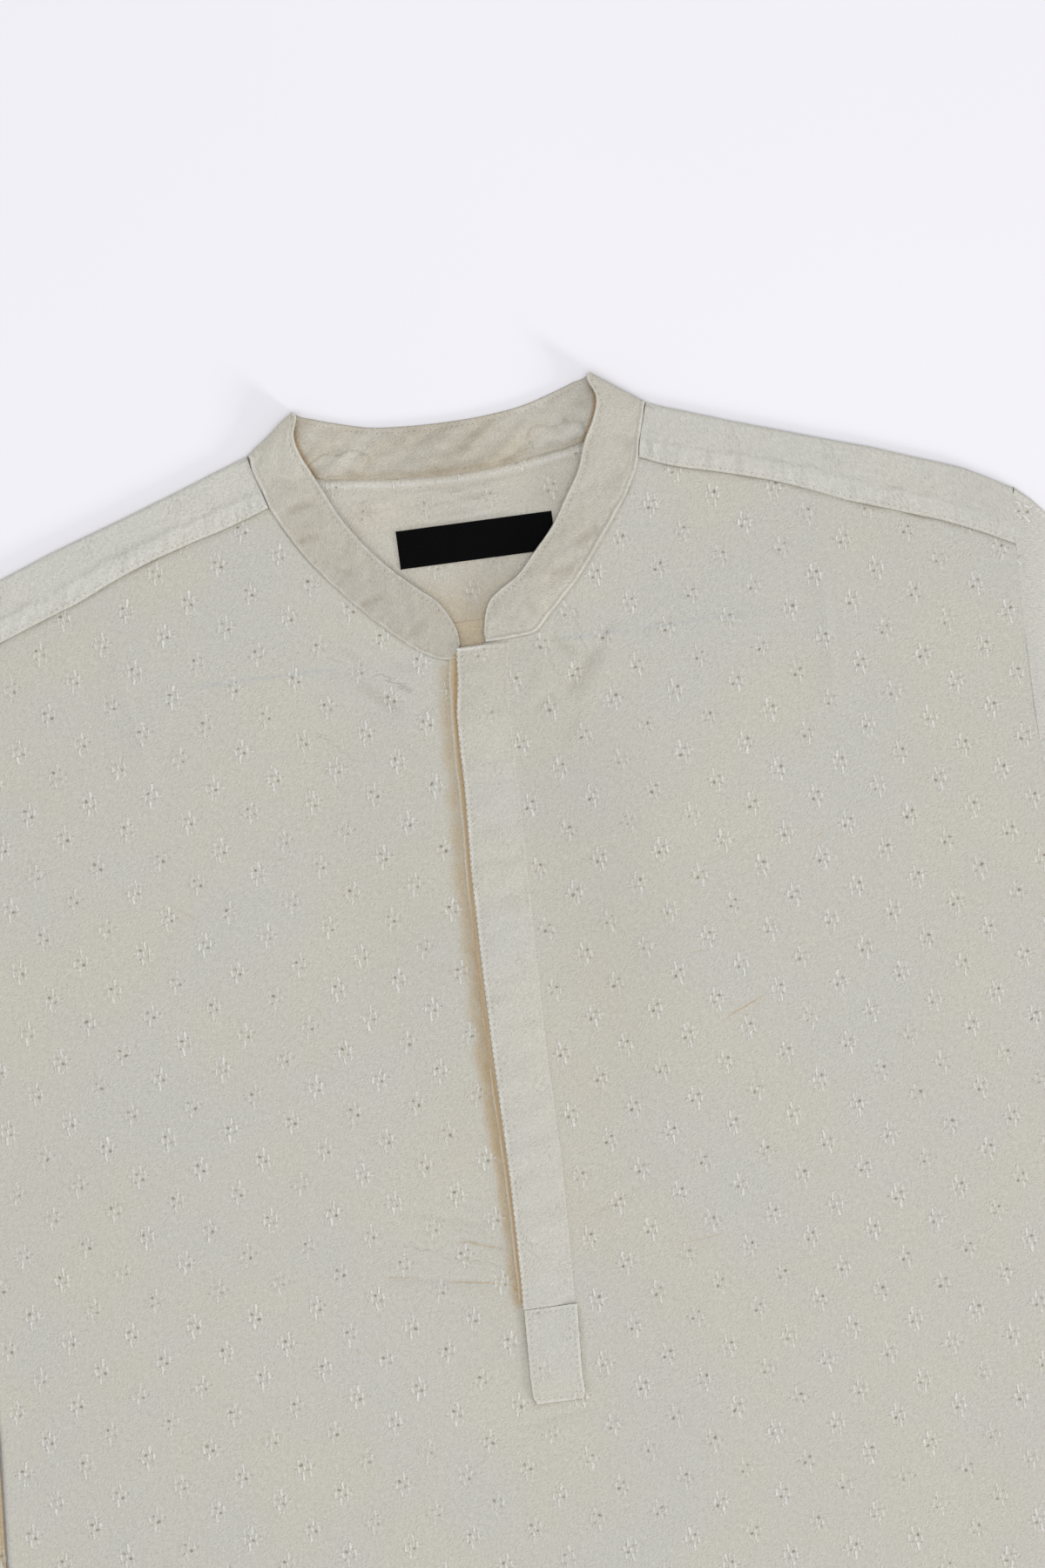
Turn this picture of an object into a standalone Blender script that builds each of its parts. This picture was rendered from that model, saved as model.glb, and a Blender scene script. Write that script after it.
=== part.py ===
"""Band-collar pullover shirt in jacquard cotton, laid flat on its back.

The plan is drawn in millimetres. u runs to the right, v runs down the front from the line
through the collar's two side folds, and z is the height over the surface. Each piece is the
outer face of its cloth, thickened inwards by a Solidify modifier.
"""

import math

import bpy
import numpy as np

MM = 0.001

# Cloth
WALL = 1.0
COLLAR_WALL = 1.6
PLACKET_WALL = 1.2
TAB_WALL = 1.6
LABEL_WALL = 0.8
GAP = 0.3
ARMHOLE_GAP = 0.4

# Heights over the surface
FOLD_HEIGHT = 3.6
FOLD_RADIUS = FOLD_HEIGHT / 2
PUFF = 0.9
PUFF_REACH = 70.0
LOW_REACH = 16.0
SIDE_SEAM_HEIGHT = WALL + 0.5
SIDE_RADIUS = FOLD_HEIGHT - SIDE_SEAM_HEIGHT
COLLAR_BASE_HEIGHT = 4.2
COLLAR_FOLD_HEIGHT = 8.3

# Lengths down the front
COLLAR_TOP = -17.5
YOKE_SEAM = 88.3
UNDERARM = 296.0
SLIT_END = 425.0
HEM = 760.0
Y_OF_BASE_LINE = (HEM + COLLAR_TOP) / 2

SLIT_HALF_GAP = 0.6
NECK_FOOT = 0.2
SLEEVE_GROOVE = 0.7
SLEEVE_GROOVE_LENGTH = 60.0
CUFF_INNER = 636.0

# Levels at the body's side where the front's rows change their spacing
UPPER_LEVEL = 196.0
LOWER_LEVEL = 460.0

# Head of the sleeve: share of its length, its drop, and the part that follows the armhole
CAP_SHARE = 0.42
CAP_DROP = 24.0
ARMHOLE_SHARE = 0.35

# Half of the shoulder outline, from the collar to the armhole: half width, v
SHOULDER = (
    (92.4, -0.4),
    (108.0, 5.2),
    (131.5, 13.5),
    (162.6, 23.8),
    (190.5, 33.0),
    (212.0, 41.0),
    (232.0, 48.4),
    (254.1, 60.4),
)

# Half of the forward shoulder seam, from the collar to the armhole: half width, v
FORWARD_SEAM = (
    (85.6, 24.6),
    (98.0, 29.4),
    (121.0, 35.8),
    (151.0, 45.2),
    (181.0, 57.6),
    (206.0, 66.4),
    (228.0, 75.0),
    (251.8, 86.4),
)

# Half of the armhole and of the body's side: v, half width
ARMHOLE = (
    (60.4, 254.1),
    (86.4, 251.8),
    (120.0, 250.7),
    (160.0, 250.5),
    (200.0, 251.4),
    (250.0, 255.4),
    (UNDERARM, 262.0),
)
SIDE = (
    (UNDERARM, 262.0),
    (350.0, 262.6),
    (434.0, 264.2),
    (492.0, 268.5),
    (560.0, 272.0),
    (660.0, 277.0),
    (HEM, 282.0),
)

# Outer fold of the right sleeve, from the shoulder to the cuff: u, v
SLEEVE_OUTER = (
    (254.5, 60.4),
    (267.2, 71.8),
    (300.0, 122.0),
    (338.0, 188.0),
    (370.0, 240.0),
    (392.0, 285.0),
    (403.0, 325.0),
    (406.0, 365.0),
    (403.0, 410.0),
    (397.0, 480.0),
    (392.0, 550.0),
    (388.0, 620.0),
)

# Half of the collar band, from its side fold to its front end:
# base u, base v, edge u, edge v, height of the edge
COLLAR_LEFT = (
    (-92.0, -0.3, -68.7, -17.4, 8.3),
    (-90.6, 7.0, -69.7, -6.0, 8.3),
    (-87.7, 16.5, -68.0, 2.6, 8.2),
    (-85.2, 25.0, -64.3, 10.8, 8.0),
    (-79.7, 36.0, -59.8, 20.5, 7.6),
    (-72.6, 48.2, -53.6, 33.6, 7.2),
    (-62.2, 62.6, -43.6, 48.6, 6.8),
    (-52.0, 74.4, -33.8, 60.0, 6.5),
    (-38.0, 88.8, -21.6, 71.4, 6.1),
    (-27.4, 98.0, -13.9, 78.4, 5.6),
    (-19.2, 102.8, -9.8, 85.4, 5.2),
    (-13.6, 104.7, -7.2, 92.2, 4.9),
    (-9.6, 105.0, -6.6, 98.0, 4.6),
)
COLLAR_RIGHT = (
    (92.7, -0.5, 68.7, -17.5, 8.3),
    (90.2, 7.5, 70.5, -5.4, 8.3),
    (87.6, 16.5, 67.8, 4.4, 8.2),
    (86.0, 24.4, 63.0, 13.2, 8.0),
    (79.6, 38.0, 57.6, 27.2, 7.6),
    (72.2, 48.8, 50.8, 38.0, 7.2),
    (62.4, 61.6, 43.0, 50.2, 6.8),
    (51.6, 75.0, 33.2, 61.0, 6.5),
    (37.4, 88.8, 22.8, 71.6, 6.1),
    (27.8, 97.4, 14.6, 76.6, 5.7),
    (18.6, 98.5, 9.2, 81.2, 5.4),
    (11.2, 98.9, 6.6, 87.4, 5.2),
    (5.3, 99.2, 5.3, 94.6, 5.0),
)
SEAM_ROW = 3

# Back of the collar band, from the left fold to the right: base u, base v, edge u, edge v
COLLAR_BACK = (
    (-78.0, 7.9, -59.7, -12.7),
    (-60.0, 14.4, -49.5, -9.4),
    (-40.0, 17.2, -34.6, -5.5),
    (-20.0, 19.2, -18.0, -3.9),
    (0.0, 20.0, 0.0, -3.4),
    (20.0, 19.2, 17.0, -3.9),
    (40.0, 17.0, 35.6, -6.1),
    (60.0, 13.8, 50.1, -10.1),
    (78.0, 7.6, 60.3, -13.6),
)

# Front placket: v, left edge, right edge, lift of the free left edge
PLACKET = (
    (100.3, -8.6, 15.4, 1.2),
    (120.0, -9.5, 12.4, 2.4),
    (144.0, -11.2, 11.3, 2.6),
    (170.0, -12.4, 10.9, 2.5),
    (200.0, -14.4, 10.1, 2.3),
    (240.0, -15.5, 8.9, 2.0),
    (282.0, -16.0, 7.9, 1.8),
    (343.0, -16.1, 7.6, 1.5),
    (390.0, -17.3, 5.8, 1.0),
    (404.0, -18.1, 5.2, 0.8),
)
UNDER_TOP = 105.6
UNDER_END = 400.0
UNDER_SHOWS = 2.4
UNDER_TAPER = 300.0
UNDER_PAST_SLIT = 2.0
PLACKET_PAST_UNDER = 1.2
PLACKET_EDGE = 1.5

# End box over the placket's foot: v, left edge, right edge
TAB = (
    (404.6, -18.0, 6.4),
    (420.0, -18.6, 5.4),
    (437.0, -19.3, 4.4),
    (445.0, -19.2, 4.8),
    (448.0, -17.6, 3.4),
)

# Blank label inside the back neck
LABEL_LEFT = -28.9
LABEL_RIGHT = 43.0
LABEL_TOP = 43.2
LABEL_BOTTOM = 60.6

# Largest soft folds: start u, start v, end u, end v, half width, height
FOLDS = (
    (-165.0, 82.0, -154.0, 142.0, 7.0, 0.7),
    (162.5, 84.0, 161.0, 152.0, 7.0, 0.7),
    (-120.0, 520.0, -96.0, 720.0, 16.0, 0.7),
    (96.0, 560.0, 124.0, 740.0, 18.0, 0.6),
    (-196.0, 600.0, -214.0, 735.0, 14.0, 0.6),
    (205.0, 470.0, 190.0, 640.0, 16.0, 0.6),
    (-284.0, 314.0, -352.0, 248.0, 9.0, 0.8),
    (284.0, 314.0, 352.0, 248.0, 9.0, 0.8),
    (-288.0, 346.0, -378.0, 322.0, 10.0, 0.7),
    (288.0, 344.0, 378.0, 318.0, 10.0, 0.7),
    (-276.0, 292.0, -304.0, 200.0, 8.0, 0.8),
    (276.0, 292.0, 306.0, 196.0, 8.0, 0.8),
    (-330.0, 430.0, -344.0, 590.0, 14.0, 0.6),
    (340.0, 440.0, 330.0, 600.0, 14.0, 0.6),
)

# Colours
ECRU = (0.60, 0.57, 0.50, 1.0)
BLACK = (0.006, 0.006, 0.007, 1.0)


def smooth_step(x):
    """Rise from 0 to 1 with level ends."""
    x = np.clip(x, 0.0, 1.0)
    return x * x * (3.0 - 2.0 * x)


def column(table, index):
    """One named column of a table."""
    return np.array([row[index] for row in table])


def along(table, value, index=1):
    """Straight runs through a table's rows, read at a value of its first column."""
    return np.interp(value, column(table, 0), column(table, index))


def unit(vector):
    vector = np.asarray(vector, float)
    return vector / np.linalg.norm(vector)


def by_length(points, count):
    """Points at even lengths along a broken line."""
    points = np.asarray(points, float)
    steps = np.linalg.norm(np.diff(points, axis=0), axis=1)
    length = np.concatenate(([0.0], np.cumsum(steps)))
    wanted = np.linspace(0.0, length[-1], count)
    return np.column_stack([np.interp(wanted, length, points[:, k]) for k in (0, 1)])


def rounded(points, passes=2):
    """A broken line with its corners cut, and its two ends kept."""
    points = np.asarray(points, float)
    for _ in range(passes):
        low = 0.75 * points[:-1] + 0.25 * points[1:]
        high = 0.25 * points[:-1] + 0.75 * points[1:]
        middle = np.column_stack([low, high]).reshape(-1, 2)
        points = np.vstack([points[:1], middle[1:-1], points[-1:]])
    return points


def body_half_width(v):
    """Half of the body's width, at the armhole or at the side."""
    return np.where(v < UNDERARM, along(ARMHOLE, v), along(SIDE, v))


def sleeve_inner_u(v):
    """Inner fold of the right sleeve, just clear of the body's side."""
    groove = ARMHOLE_GAP + (SLEEVE_GROOVE - ARMHOLE_GAP) * smooth_step(
        (v - UNDERARM) / SLEEVE_GROOVE_LENGTH)
    return along(SIDE, v) + groove


def fold_lines():
    """Points along every folded edge of the garment, both sides."""
    inner_v = np.linspace(UNDERARM, CUFF_INNER, 80)
    side_v = np.linspace(UNDERARM, HEM, 100)
    right = np.vstack([
        by_length(SHOULDER, 40),
        by_length(rounded(SLEEVE_OUTER), 150),
        np.column_stack([sleeve_inner_u(inner_v), inner_v]),
        np.column_stack([along(SIDE, side_v), side_v]),
    ])
    return np.vstack([right, right * (-1.0, 1.0)])


def placket_line():
    """Points along the neck seam, the placket and its end box, where the cloth lies low."""
    v = np.linspace(PLACKET[0][0], TAB[-1][0], 60)
    middle = (along(PLACKET, v) + along(PLACKET, v, 2)) / 2
    neck = [row[:2] for row in COLLAR_LEFT + COLLAR_RIGHT]
    return np.vstack([np.column_stack([middle, v]), neck])


FOLD_LINES = fold_lines()
LOW_LINES = placket_line()


def nearest(u, v, points):
    """Distance in the plan to the nearest of a set of points."""
    offset = np.array([u, v]) - points
    return math.sqrt(float((offset ** 2).sum(axis=1).min()))


def soft_fold(u, v, start_u, start_v, end_u, end_v, half_width, height):
    """Height that one soft fold adds, fading at its sides and its ends."""
    start = np.array([start_u, start_v])
    run = np.array([end_u - start_u, end_v - start_v])
    share = float((np.array([u, v]) - start) @ run / (run @ run))
    across = np.linalg.norm(np.array([u, v]) - start - run * min(max(share, 0.0), 1.0))
    ends = smooth_step(share / 0.3 + 0.3) * smooth_step((1.0 - share) / 0.3 + 0.3)
    return height * float(ends) * math.exp(-(across / half_width) ** 2)


def top_height(u, v):
    """Height of the upper face of the front layer."""
    away_from_edge = smooth_step(nearest(u, v, FOLD_LINES) / PUFF_REACH)
    away_from_placket = smooth_step((nearest(u, v, LOW_LINES) - LOW_REACH) / PUFF_REACH)
    folds = sum(soft_fold(u, v, *row) for row in FOLDS)
    return FOLD_HEIGHT + float(away_from_edge) * (PUFF * float(away_from_placket) + folds)


def place(u, v, z):
    """A point of the plan, in metres in the part's own frame."""
    return (u * MM, (Y_OF_BASE_LINE - v) * MM, z * MM)


class Cloth:
    """The outer face of one piece, gathered as points and faces."""

    def __init__(self):
        self.points = []
        self.faces = []

    def add(self, u, v, z):
        self.points.append(place(u, v, z))
        return len(self.points) - 1

    def add_row(self, row):
        return [self.add(*point) for point in row]

    def fill(self, rows, closed=False):
        """Four-sided faces between rows of point numbers."""
        for row, following in zip(rows, rows[1:]):
            count = len(row) if closed else len(row) - 1
            for k in range(count):
                n = (k + 1) % len(row)
                self.faces.append((row[k], following[k], following[n], row[n]))

    def build(self, name, wall, material):
        """The piece as an object, thickened inwards from its outer face unless wall is 0."""
        mesh = bpy.data.meshes.new(name)
        mesh.from_pydata(self.points, [], self.faces)
        mesh.update()
        mesh.shade_smooth()
        mesh.set_sharp_from_angle(angle=math.radians(40.0))
        mesh.materials.append(material)
        piece = bpy.data.objects.new(name, mesh)
        bpy.context.collection.objects.link(piece)
        if wall > 0.0:
            thicken = piece.modifiers.new("Cloth", "SOLIDIFY")
            thicken.thickness = wall * MM
            thicken.offset = -1.0
        return piece


def make_material(name, colour, roughness):
    material = bpy.data.materials.new(name)
    material.use_nodes = True
    shader = material.node_tree.nodes["Principled BSDF"]
    shader.inputs["Base Color"].default_value = colour
    shader.inputs["Roughness"].default_value = roughness
    shader.inputs["Metallic"].default_value = 0.0
    return material


def outward(base, edge):
    """Unit step in the plan from the collar's edge through its base."""
    return unit(np.subtract(base, edge))


def seam_point(row):
    """Point on the body's side of the neck seam beside one collar row."""
    base = np.array(row[:2])
    return base + GAP * outward(base, row[2:4])


def make_back(material):
    """Flat lower panel from the yoke seam to the hem."""
    cloth = Cloth()
    levels = [YOKE_SEAM + GAP]
    levels += [row[0] for row in ARMHOLE if row[0] > YOKE_SEAM + GAP]
    levels += [row[0] for row in SIDE[1:]]
    rows = []
    for v in levels:
        half = float(body_half_width(v))
        rows.append(cloth.add_row((half * share, v, 0.0) for share in np.linspace(1.0, -1.0, 9)))
    cloth.fill(rows)
    return cloth.build("back", WALL, material)


def shoulder_columns(side, collar_rows):
    """Outline point, outward step and seam point of each yoke column, from the collar out."""
    first = seam_point(collar_rows[0])
    outline = [first] + [np.array([side * u, v]) for u, v in SHOULDER[1:]]
    seam = [seam_point(collar_rows[SEAM_ROW])]
    seam += [np.array([side * u, v]) for u, v in FORWARD_SEAM[1:]]
    columns = []
    for k, point in enumerate(outline):
        before = outline[max(k - 1, 0)]
        after = outline[min(k + 1, len(outline) - 1)]
        run = unit(after - before) * side
        columns.append((point, np.array([run[1], -run[0]]), seam[k]))
    return columns


def make_yoke(material):
    """Back neck and shoulders: flat below, folded forward over both shoulders."""
    cloth = Cloth()
    lower_steps = 4
    columns = []
    for side, rows in ((-1, COLLAR_LEFT), (1, COLLAR_RIGHT)):
        part = []
        for k, (outline, step, seam) in enumerate(shoulder_columns(side, rows)):
            centre = outline - step * FOLD_RADIUS
            path = []
            foot_u = side * min(abs(outline[0]), float(body_half_width(YOKE_SEAM)))
            for share in np.linspace(0.0, 1.0, lower_steps + 1):
                u = foot_u + (centre[0] - foot_u) * share
                path.append((u, YOKE_SEAM + (centre[1] - YOKE_SEAM) * share, 0.0))
            for angle in np.radians((-54.0, -18.0, 18.0, 54.0, 90.0)):
                u, v = centre + step * FOLD_RADIUS * math.cos(angle)
                path.append((u, v, FOLD_RADIUS * (1.0 + math.sin(angle))))
            for j in range(1, SEAM_ROW + 1):
                u, v = centre + (seam - centre) * j / SEAM_ROW
                if k == 0:
                    u, v = seam_point(rows[j])
                path.append((u, v, top_height(u, v)))
            part.append(path)
        columns.append(part)
    left, right = columns
    neck = []
    for row in COLLAR_BACK:
        u, v = seam_point(row)
        shares = np.linspace(0.0, 1.0, lower_steps + 1)
        neck.append([(u, YOKE_SEAM + (v - YOKE_SEAM) * share, 0.0) for share in shares])
    numbers = [cloth.add_row(path) for path in right[::-1] + neck[::-1] + left]
    shoulder_count = len(left)
    cloth.fill(numbers[:shoulder_count])
    cloth.fill([row[:lower_steps + 1] for row in
                numbers[shoulder_count - 1:len(numbers) - shoulder_count + 1]])
    cloth.fill(numbers[-shoulder_count:])
    return cloth.build("yoke", WALL, material)


def slit_middle(v):
    """Middle of the placket, where the front is slit."""
    return float(along(PLACKET, v) + along(PLACKET, v, 2)) / 2


def front_boundaries(side, collar_rows):
    """Inner and outer ends of every row of one half of the front."""
    inner = [tuple(seam_point(row)) for row in collar_rows[SEAM_ROW:-1]]
    neck_foot = inner[-1][1] + NECK_FOOT
    inner.append((slit_middle(neck_foot) + side * SLIT_HALF_GAP, neck_foot))
    neck_count = len(inner)
    slit_levels = np.linspace(neck_foot, SLIT_END, 11)[1:]
    inner += [(slit_middle(v) + side * SLIT_HALF_GAP, v) for v in slit_levels]
    slit_count = len(inner)
    below_levels = np.linspace(SLIT_END, HEM, 12)[1:]
    inner += [(slit_middle(SLIT_END), v) for v in below_levels]
    outer_levels = np.concatenate([
        np.linspace(FORWARD_SEAM[-1][1] + GAP, UPPER_LEVEL, neck_count),
        np.linspace(UPPER_LEVEL, UNDERARM, 5)[1:],
        np.linspace(UNDERARM, LOWER_LEVEL, slit_count - neck_count - 3)[1:],
        np.linspace(LOWER_LEVEL, HEM, len(below_levels) + 1)[1:],
    ])
    outer = [(side * float(body_half_width(v)), float(v)) for v in outer_levels]
    return inner, outer, slit_count


def seam_curve(side, collar_rows, share):
    """Front's edge along the forward seam at a share of the way from neck to armhole."""
    points = [seam_point(collar_rows[SEAM_ROW])]
    points += [np.array([side * u, v]) for u, v in FORWARD_SEAM[1:]]
    knots = np.linspace(0.0, 1.0, len(points))
    u = float(np.interp(share, knots, [p[0] for p in points]))
    v = float(np.interp(share, knots, [p[1] for p in points]))
    return u, v + GAP


def make_front(material):
    """Upper panel in one piece, slit from the neck to the end box."""
    cloth = Cloth()
    shares = np.linspace(0.0, 1.0, len(FORWARD_SEAM))
    grids = []
    for side, collar_rows in ((-1, COLLAR_LEFT), (1, COLLAR_RIGHT)):
        inner, outer, slit_count = front_boundaries(side, collar_rows)
        rows = []
        for j, (start, end) in enumerate(zip(inner, outer)):
            start = np.array(start)
            end = np.array(end)
            span = np.linalg.norm(end - start)
            row = []
            for share in shares[:-1]:
                u, v = start + (end - start) * share
                if j == 0:
                    u, v = seam_curve(side, collar_rows, share)
                row.append((u, v, top_height(u, v)))
            at_side = end[1] > UNDERARM
            for angle in np.radians((0.0, 30.0, 60.0, 90.0)):
                back_from_edge = SIDE_RADIUS * (1.0 - math.sin(angle))
                u, v = end + (start - end) * back_from_edge / span
                z = SIDE_SEAM_HEIGHT + SIDE_RADIUS * math.cos(angle)
                row.append((u, v, z if at_side else top_height(u, v)))
            rows.append(row)
        grids.append((rows, slit_count))
    left, slit_count = grids[0]
    right = grids[1][0]
    left_numbers = [cloth.add_row(row) for row in left]
    right_numbers = []
    for j, row in enumerate(right):
        if j < slit_count:
            right_numbers.append(cloth.add_row(row))
        else:
            right_numbers.append([left_numbers[j][0]] + cloth.add_row(row[1:]))
    cloth.fill([row[::-1] for row in left_numbers])
    cloth.fill(right_numbers)
    join = [left_numbers[slit_count - 1][0], left_numbers[slit_count][0],
            right_numbers[slit_count - 1][0]]
    cloth.faces.append(tuple(join))
    return cloth.build("front", WALL, material)


def make_sleeve(name, side, material):
    """Flattened tube from the armhole to the plain cuff, its lower layer on the surface."""
    cloth = Cloth()
    station_count = 27
    outer = by_length(rounded(SLEEVE_OUTER), station_count)
    across = np.array((0.06, 0.2, 0.35, 0.5, 0.65, 0.8, 0.94))
    arc = np.radians((-90.0, -45.0, 0.0, 45.0, 90.0))
    underarm = np.array([ARMHOLE[-1][1] + ARMHOLE_GAP, UNDERARM])
    outer_rows = []
    inner_rows = []
    for station, fold in enumerate(outer):
        t = station / (station_count - 1)
        run = (t - CAP_SHARE) / (1.0 - CAP_SHARE)
        drop = CAP_DROP * min(t / CAP_SHARE, 1.0)
        drop += (CUFF_INNER - UNDERARM - CAP_DROP) * max(run, 0.0)
        inner_v = UNDERARM + drop
        inner = np.array([float(sleeve_inner_u(inner_v)), inner_v])
        step = unit(inner - fold)
        curve_share = 1.0 - float(smooth_step(t / ARMHOLE_SHARE))

        def point(share):
            """Point of this section at a share of the way from outer to inner fold."""
            straight = fold + (inner - fold) * share
            v = ARMHOLE[0][0] + (UNDERARM - ARMHOLE[0][0]) * share
            on_armhole = float(along(ARMHOLE, v)) + ARMHOLE_GAP
            first = outer[0] + (underarm - outer[0]) * share
            return straight + np.array([on_armhole - first[0], 0.0]) * curve_share

        def ring(inset):
            """Closed section of the tube, the given distance inside its outer face."""
            radius = FOLD_RADIUS - inset
            centres = fold + step * FOLD_RADIUS, inner - step * FOLD_RADIUS
            row = []
            for angle in arc:
                u, v = centres[0] - step * radius * math.cos(angle)
                row.append((u, v, FOLD_RADIUS + radius * math.sin(angle)))
            for share in across:
                u, v = point(share)
                row.append((u, v, top_height(u, v) - inset))
            for angle in arc[::-1]:
                u, v = centres[1] + step * radius * math.cos(angle)
                row.append((u, v, FOLD_RADIUS + radius * math.sin(angle)))
            for share in across[::-1]:
                u, v = point(share)
                row.append((u, v, inset))
            return [(side * u, v, z) for u, v, z in row][::-side]

        outer_rows.append(cloth.add_row(ring(0.0)))
        inner_rows.append(cloth.add_row(ring(WALL)))
    cloth.fill(outer_rows, closed=True)
    cloth.fill(inner_rows[::-1], closed=True)
    cloth.fill([inner_rows[0], outer_rows[0]], closed=True)
    cloth.fill([outer_rows[-1], inner_rows[-1]], closed=True)
    return cloth.build(name, 0.0, material)


def collar_sections():
    """Base and edge of the band's outer face, from its left front end to its right."""
    halves = []
    for rows in (COLLAR_LEFT, COLLAR_RIGHT):
        half = []
        base_fold = np.array(rows[0][:2])
        edge_fold = np.array(rows[0][2:4])
        line = unit(edge_fold - base_fold)
        out = np.array([line[1], -line[0]])
        if out[1] > 0.0:
            out = -out
        for angle in np.radians((-60.0, -30.0, 0.0, 30.0, 60.0, 90.0)):
            pair = []
            for point, height in ((base_fold, COLLAR_BASE_HEIGHT), (edge_fold, COLLAR_FOLD_HEIGHT)):
                radius = height / 2
                u, v = point - out * radius * (1.0 - math.cos(angle))
                pair.append((u, v, radius * (1.0 + math.sin(angle))))
            half.append(tuple(pair))
        for base_u, base_v, edge_u, edge_v, edge_z in rows[1:]:
            half.append(((base_u, base_v, COLLAR_BASE_HEIGHT), (edge_u, edge_v, edge_z)))
        halves.append(half)
    back = [((row[0], row[1], 0.0), (row[2], row[3], 0.0)) for row in COLLAR_BACK]
    return halves[0][::-1] + back + halves[1]


def make_collar(material):
    """Band collar, pressed flat: its back lies inner face up and its fronts outer face up."""
    cloth = Cloth()
    rows = []
    for base, edge in collar_sections()[::-1]:
        base = np.array(base)
        edge = np.array(edge)
        row = [base + (edge - base) * share for share in (0.0, 0.35, 0.7, 1.0)]
        rows.append(cloth.add_row(row))
    cloth.fill(rows)
    return cloth.build("collar", COLLAR_WALL, material)


def make_strip(name, rows, wall, material):
    """A strip that lies on the front, from rows of points on its upper face."""
    cloth = Cloth()
    cloth.fill([cloth.add_row(row) for row in rows])
    return cloth.build(name, wall, material)


def make_under_placket(material):
    """Narrow facing on the left front's slit edge, under the placket."""
    rows = []
    for v in np.linspace(UNDER_TOP, UNDER_END, 10):
        left = float(along(PLACKET, v)) - UNDER_SHOWS * (1.0 - (v - UNDER_TOP) / UNDER_TAPER)
        right = slit_middle(v) + UNDER_PAST_SLIT
        z = FOLD_HEIGHT + GAP + WALL
        rows.append([(left, v, z), ((left + right) / 2, v, z), (right, v, z)])
    return make_strip("placket_under", rows, WALL, material)


def make_placket(material):
    """Wide placket over the slit, free and raised along its left edge."""
    rows = []
    on_under = FOLD_HEIGHT + GAP + WALL + GAP + PLACKET_WALL
    on_front = FOLD_HEIGHT + GAP + PLACKET_WALL
    for v, left, right, lift in PLACKET:
        past_under = slit_middle(v) + UNDER_PAST_SLIT + PLACKET_PAST_UNDER
        rows.append([
            (left, v, on_under + lift),
            ((left + past_under) / 2, v, on_under + 0.5 * lift),
            (past_under, v, on_under + 0.1 * lift),
            (right - PLACKET_EDGE, v, on_front + 0.1),
            (right, v, on_front),
        ])
    return make_strip("placket_top", rows, PLACKET_WALL, material)


def make_tab(material):
    """End box sewn over the placket's foot."""
    rows = []
    for v, left, right in TAB:
        z = FOLD_HEIGHT + GAP + TAB_WALL
        rows.append([(u, v, z) for u in np.linspace(left, right, 4)])
    return make_strip("placket_tab", rows, TAB_WALL, material)


def make_label(material):
    """Blank label on the yoke's inner face."""
    z = WALL + GAP + LABEL_WALL
    rows = []
    for v in (LABEL_TOP, LABEL_BOTTOM):
        rows.append([(u, v, z) for u in (LABEL_LEFT, LABEL_RIGHT)])
    return make_strip("label", rows, LABEL_WALL, material)


def main():
    for old in list(bpy.data.objects):
        bpy.data.objects.remove(old, do_unlink=True)
    panel = make_material("jacquard", ECRU, 0.85)
    trim = make_material("collar_cloth", ECRU, 0.85)
    black = make_material("label_black", BLACK, 0.6)
    make_back(panel)
    make_yoke(panel)
    make_front(panel)
    make_sleeve("sleeve_left", -1, panel)
    make_sleeve("sleeve_right", 1, panel)
    make_collar(trim)
    make_under_placket(trim)
    make_placket(trim)
    make_tab(trim)
    make_label(black)


main()
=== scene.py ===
"""Band-collar pullover shirt in jacquard cotton, laid flat: cloth detail, light and camera.

Lengths are in millimetres. u runs to the right, v runs down the front from the line through
the collar's two side folds, and z is the height over the floor.
"""

import math

import bmesh
import bpy
import numpy as np
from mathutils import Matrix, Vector
from mathutils.kdtree import KDTree


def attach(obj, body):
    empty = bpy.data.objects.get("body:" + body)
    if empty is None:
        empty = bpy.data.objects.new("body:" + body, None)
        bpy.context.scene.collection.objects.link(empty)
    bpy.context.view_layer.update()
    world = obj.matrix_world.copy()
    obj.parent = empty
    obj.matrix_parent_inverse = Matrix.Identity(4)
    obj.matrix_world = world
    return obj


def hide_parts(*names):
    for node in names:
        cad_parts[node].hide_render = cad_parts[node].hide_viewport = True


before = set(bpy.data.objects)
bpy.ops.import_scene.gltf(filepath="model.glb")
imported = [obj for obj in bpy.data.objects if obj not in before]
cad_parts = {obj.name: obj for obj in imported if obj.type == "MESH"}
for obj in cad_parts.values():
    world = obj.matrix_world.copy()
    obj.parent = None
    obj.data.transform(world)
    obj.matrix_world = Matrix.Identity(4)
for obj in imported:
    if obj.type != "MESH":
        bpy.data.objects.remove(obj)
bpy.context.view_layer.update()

MM = 0.001
MM_A_METRE = 1000.0

# Smallest lengths that count: of a direction, and between points that share a place
TINY = 1e-9
JOIN_REACH = 1e-6
# A distance that stands for one that plays no part
FAR_OFF = 99.0

# Edges of the mesh turn sharp from this angle on, in degrees
SHARP_ANGLE = 55.0
# Smallest and largest wave of a soft unevenness, as shares of its size
WAVE_SIZES = (0.7, 1.6)

# Cloth
WALL = 1.0
COLLAR_WALL = 1.6
TAB_WALL = 1.6
LABEL_WALL = 0.8
GAP = 0.3
NECK_GAP = 0.08
ARMHOLE_GAP = 0.4

# Heights over the floor
FOLD_HEIGHT = 3.6
FOLD_RADIUS = FOLD_HEIGHT / 2
PUFF = 0.9
PUFF_REACH = 70.0
PLACKET_REACH = 16.0
SIDE_SEAM_HEIGHT = WALL + 0.5
SIDE_RADIUS = FOLD_HEIGHT - SIDE_SEAM_HEIGHT
COLLAR_BASE_HEIGHT = 4.2
COLLAR_FOLD_HEIGHT = 8.3

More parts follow.
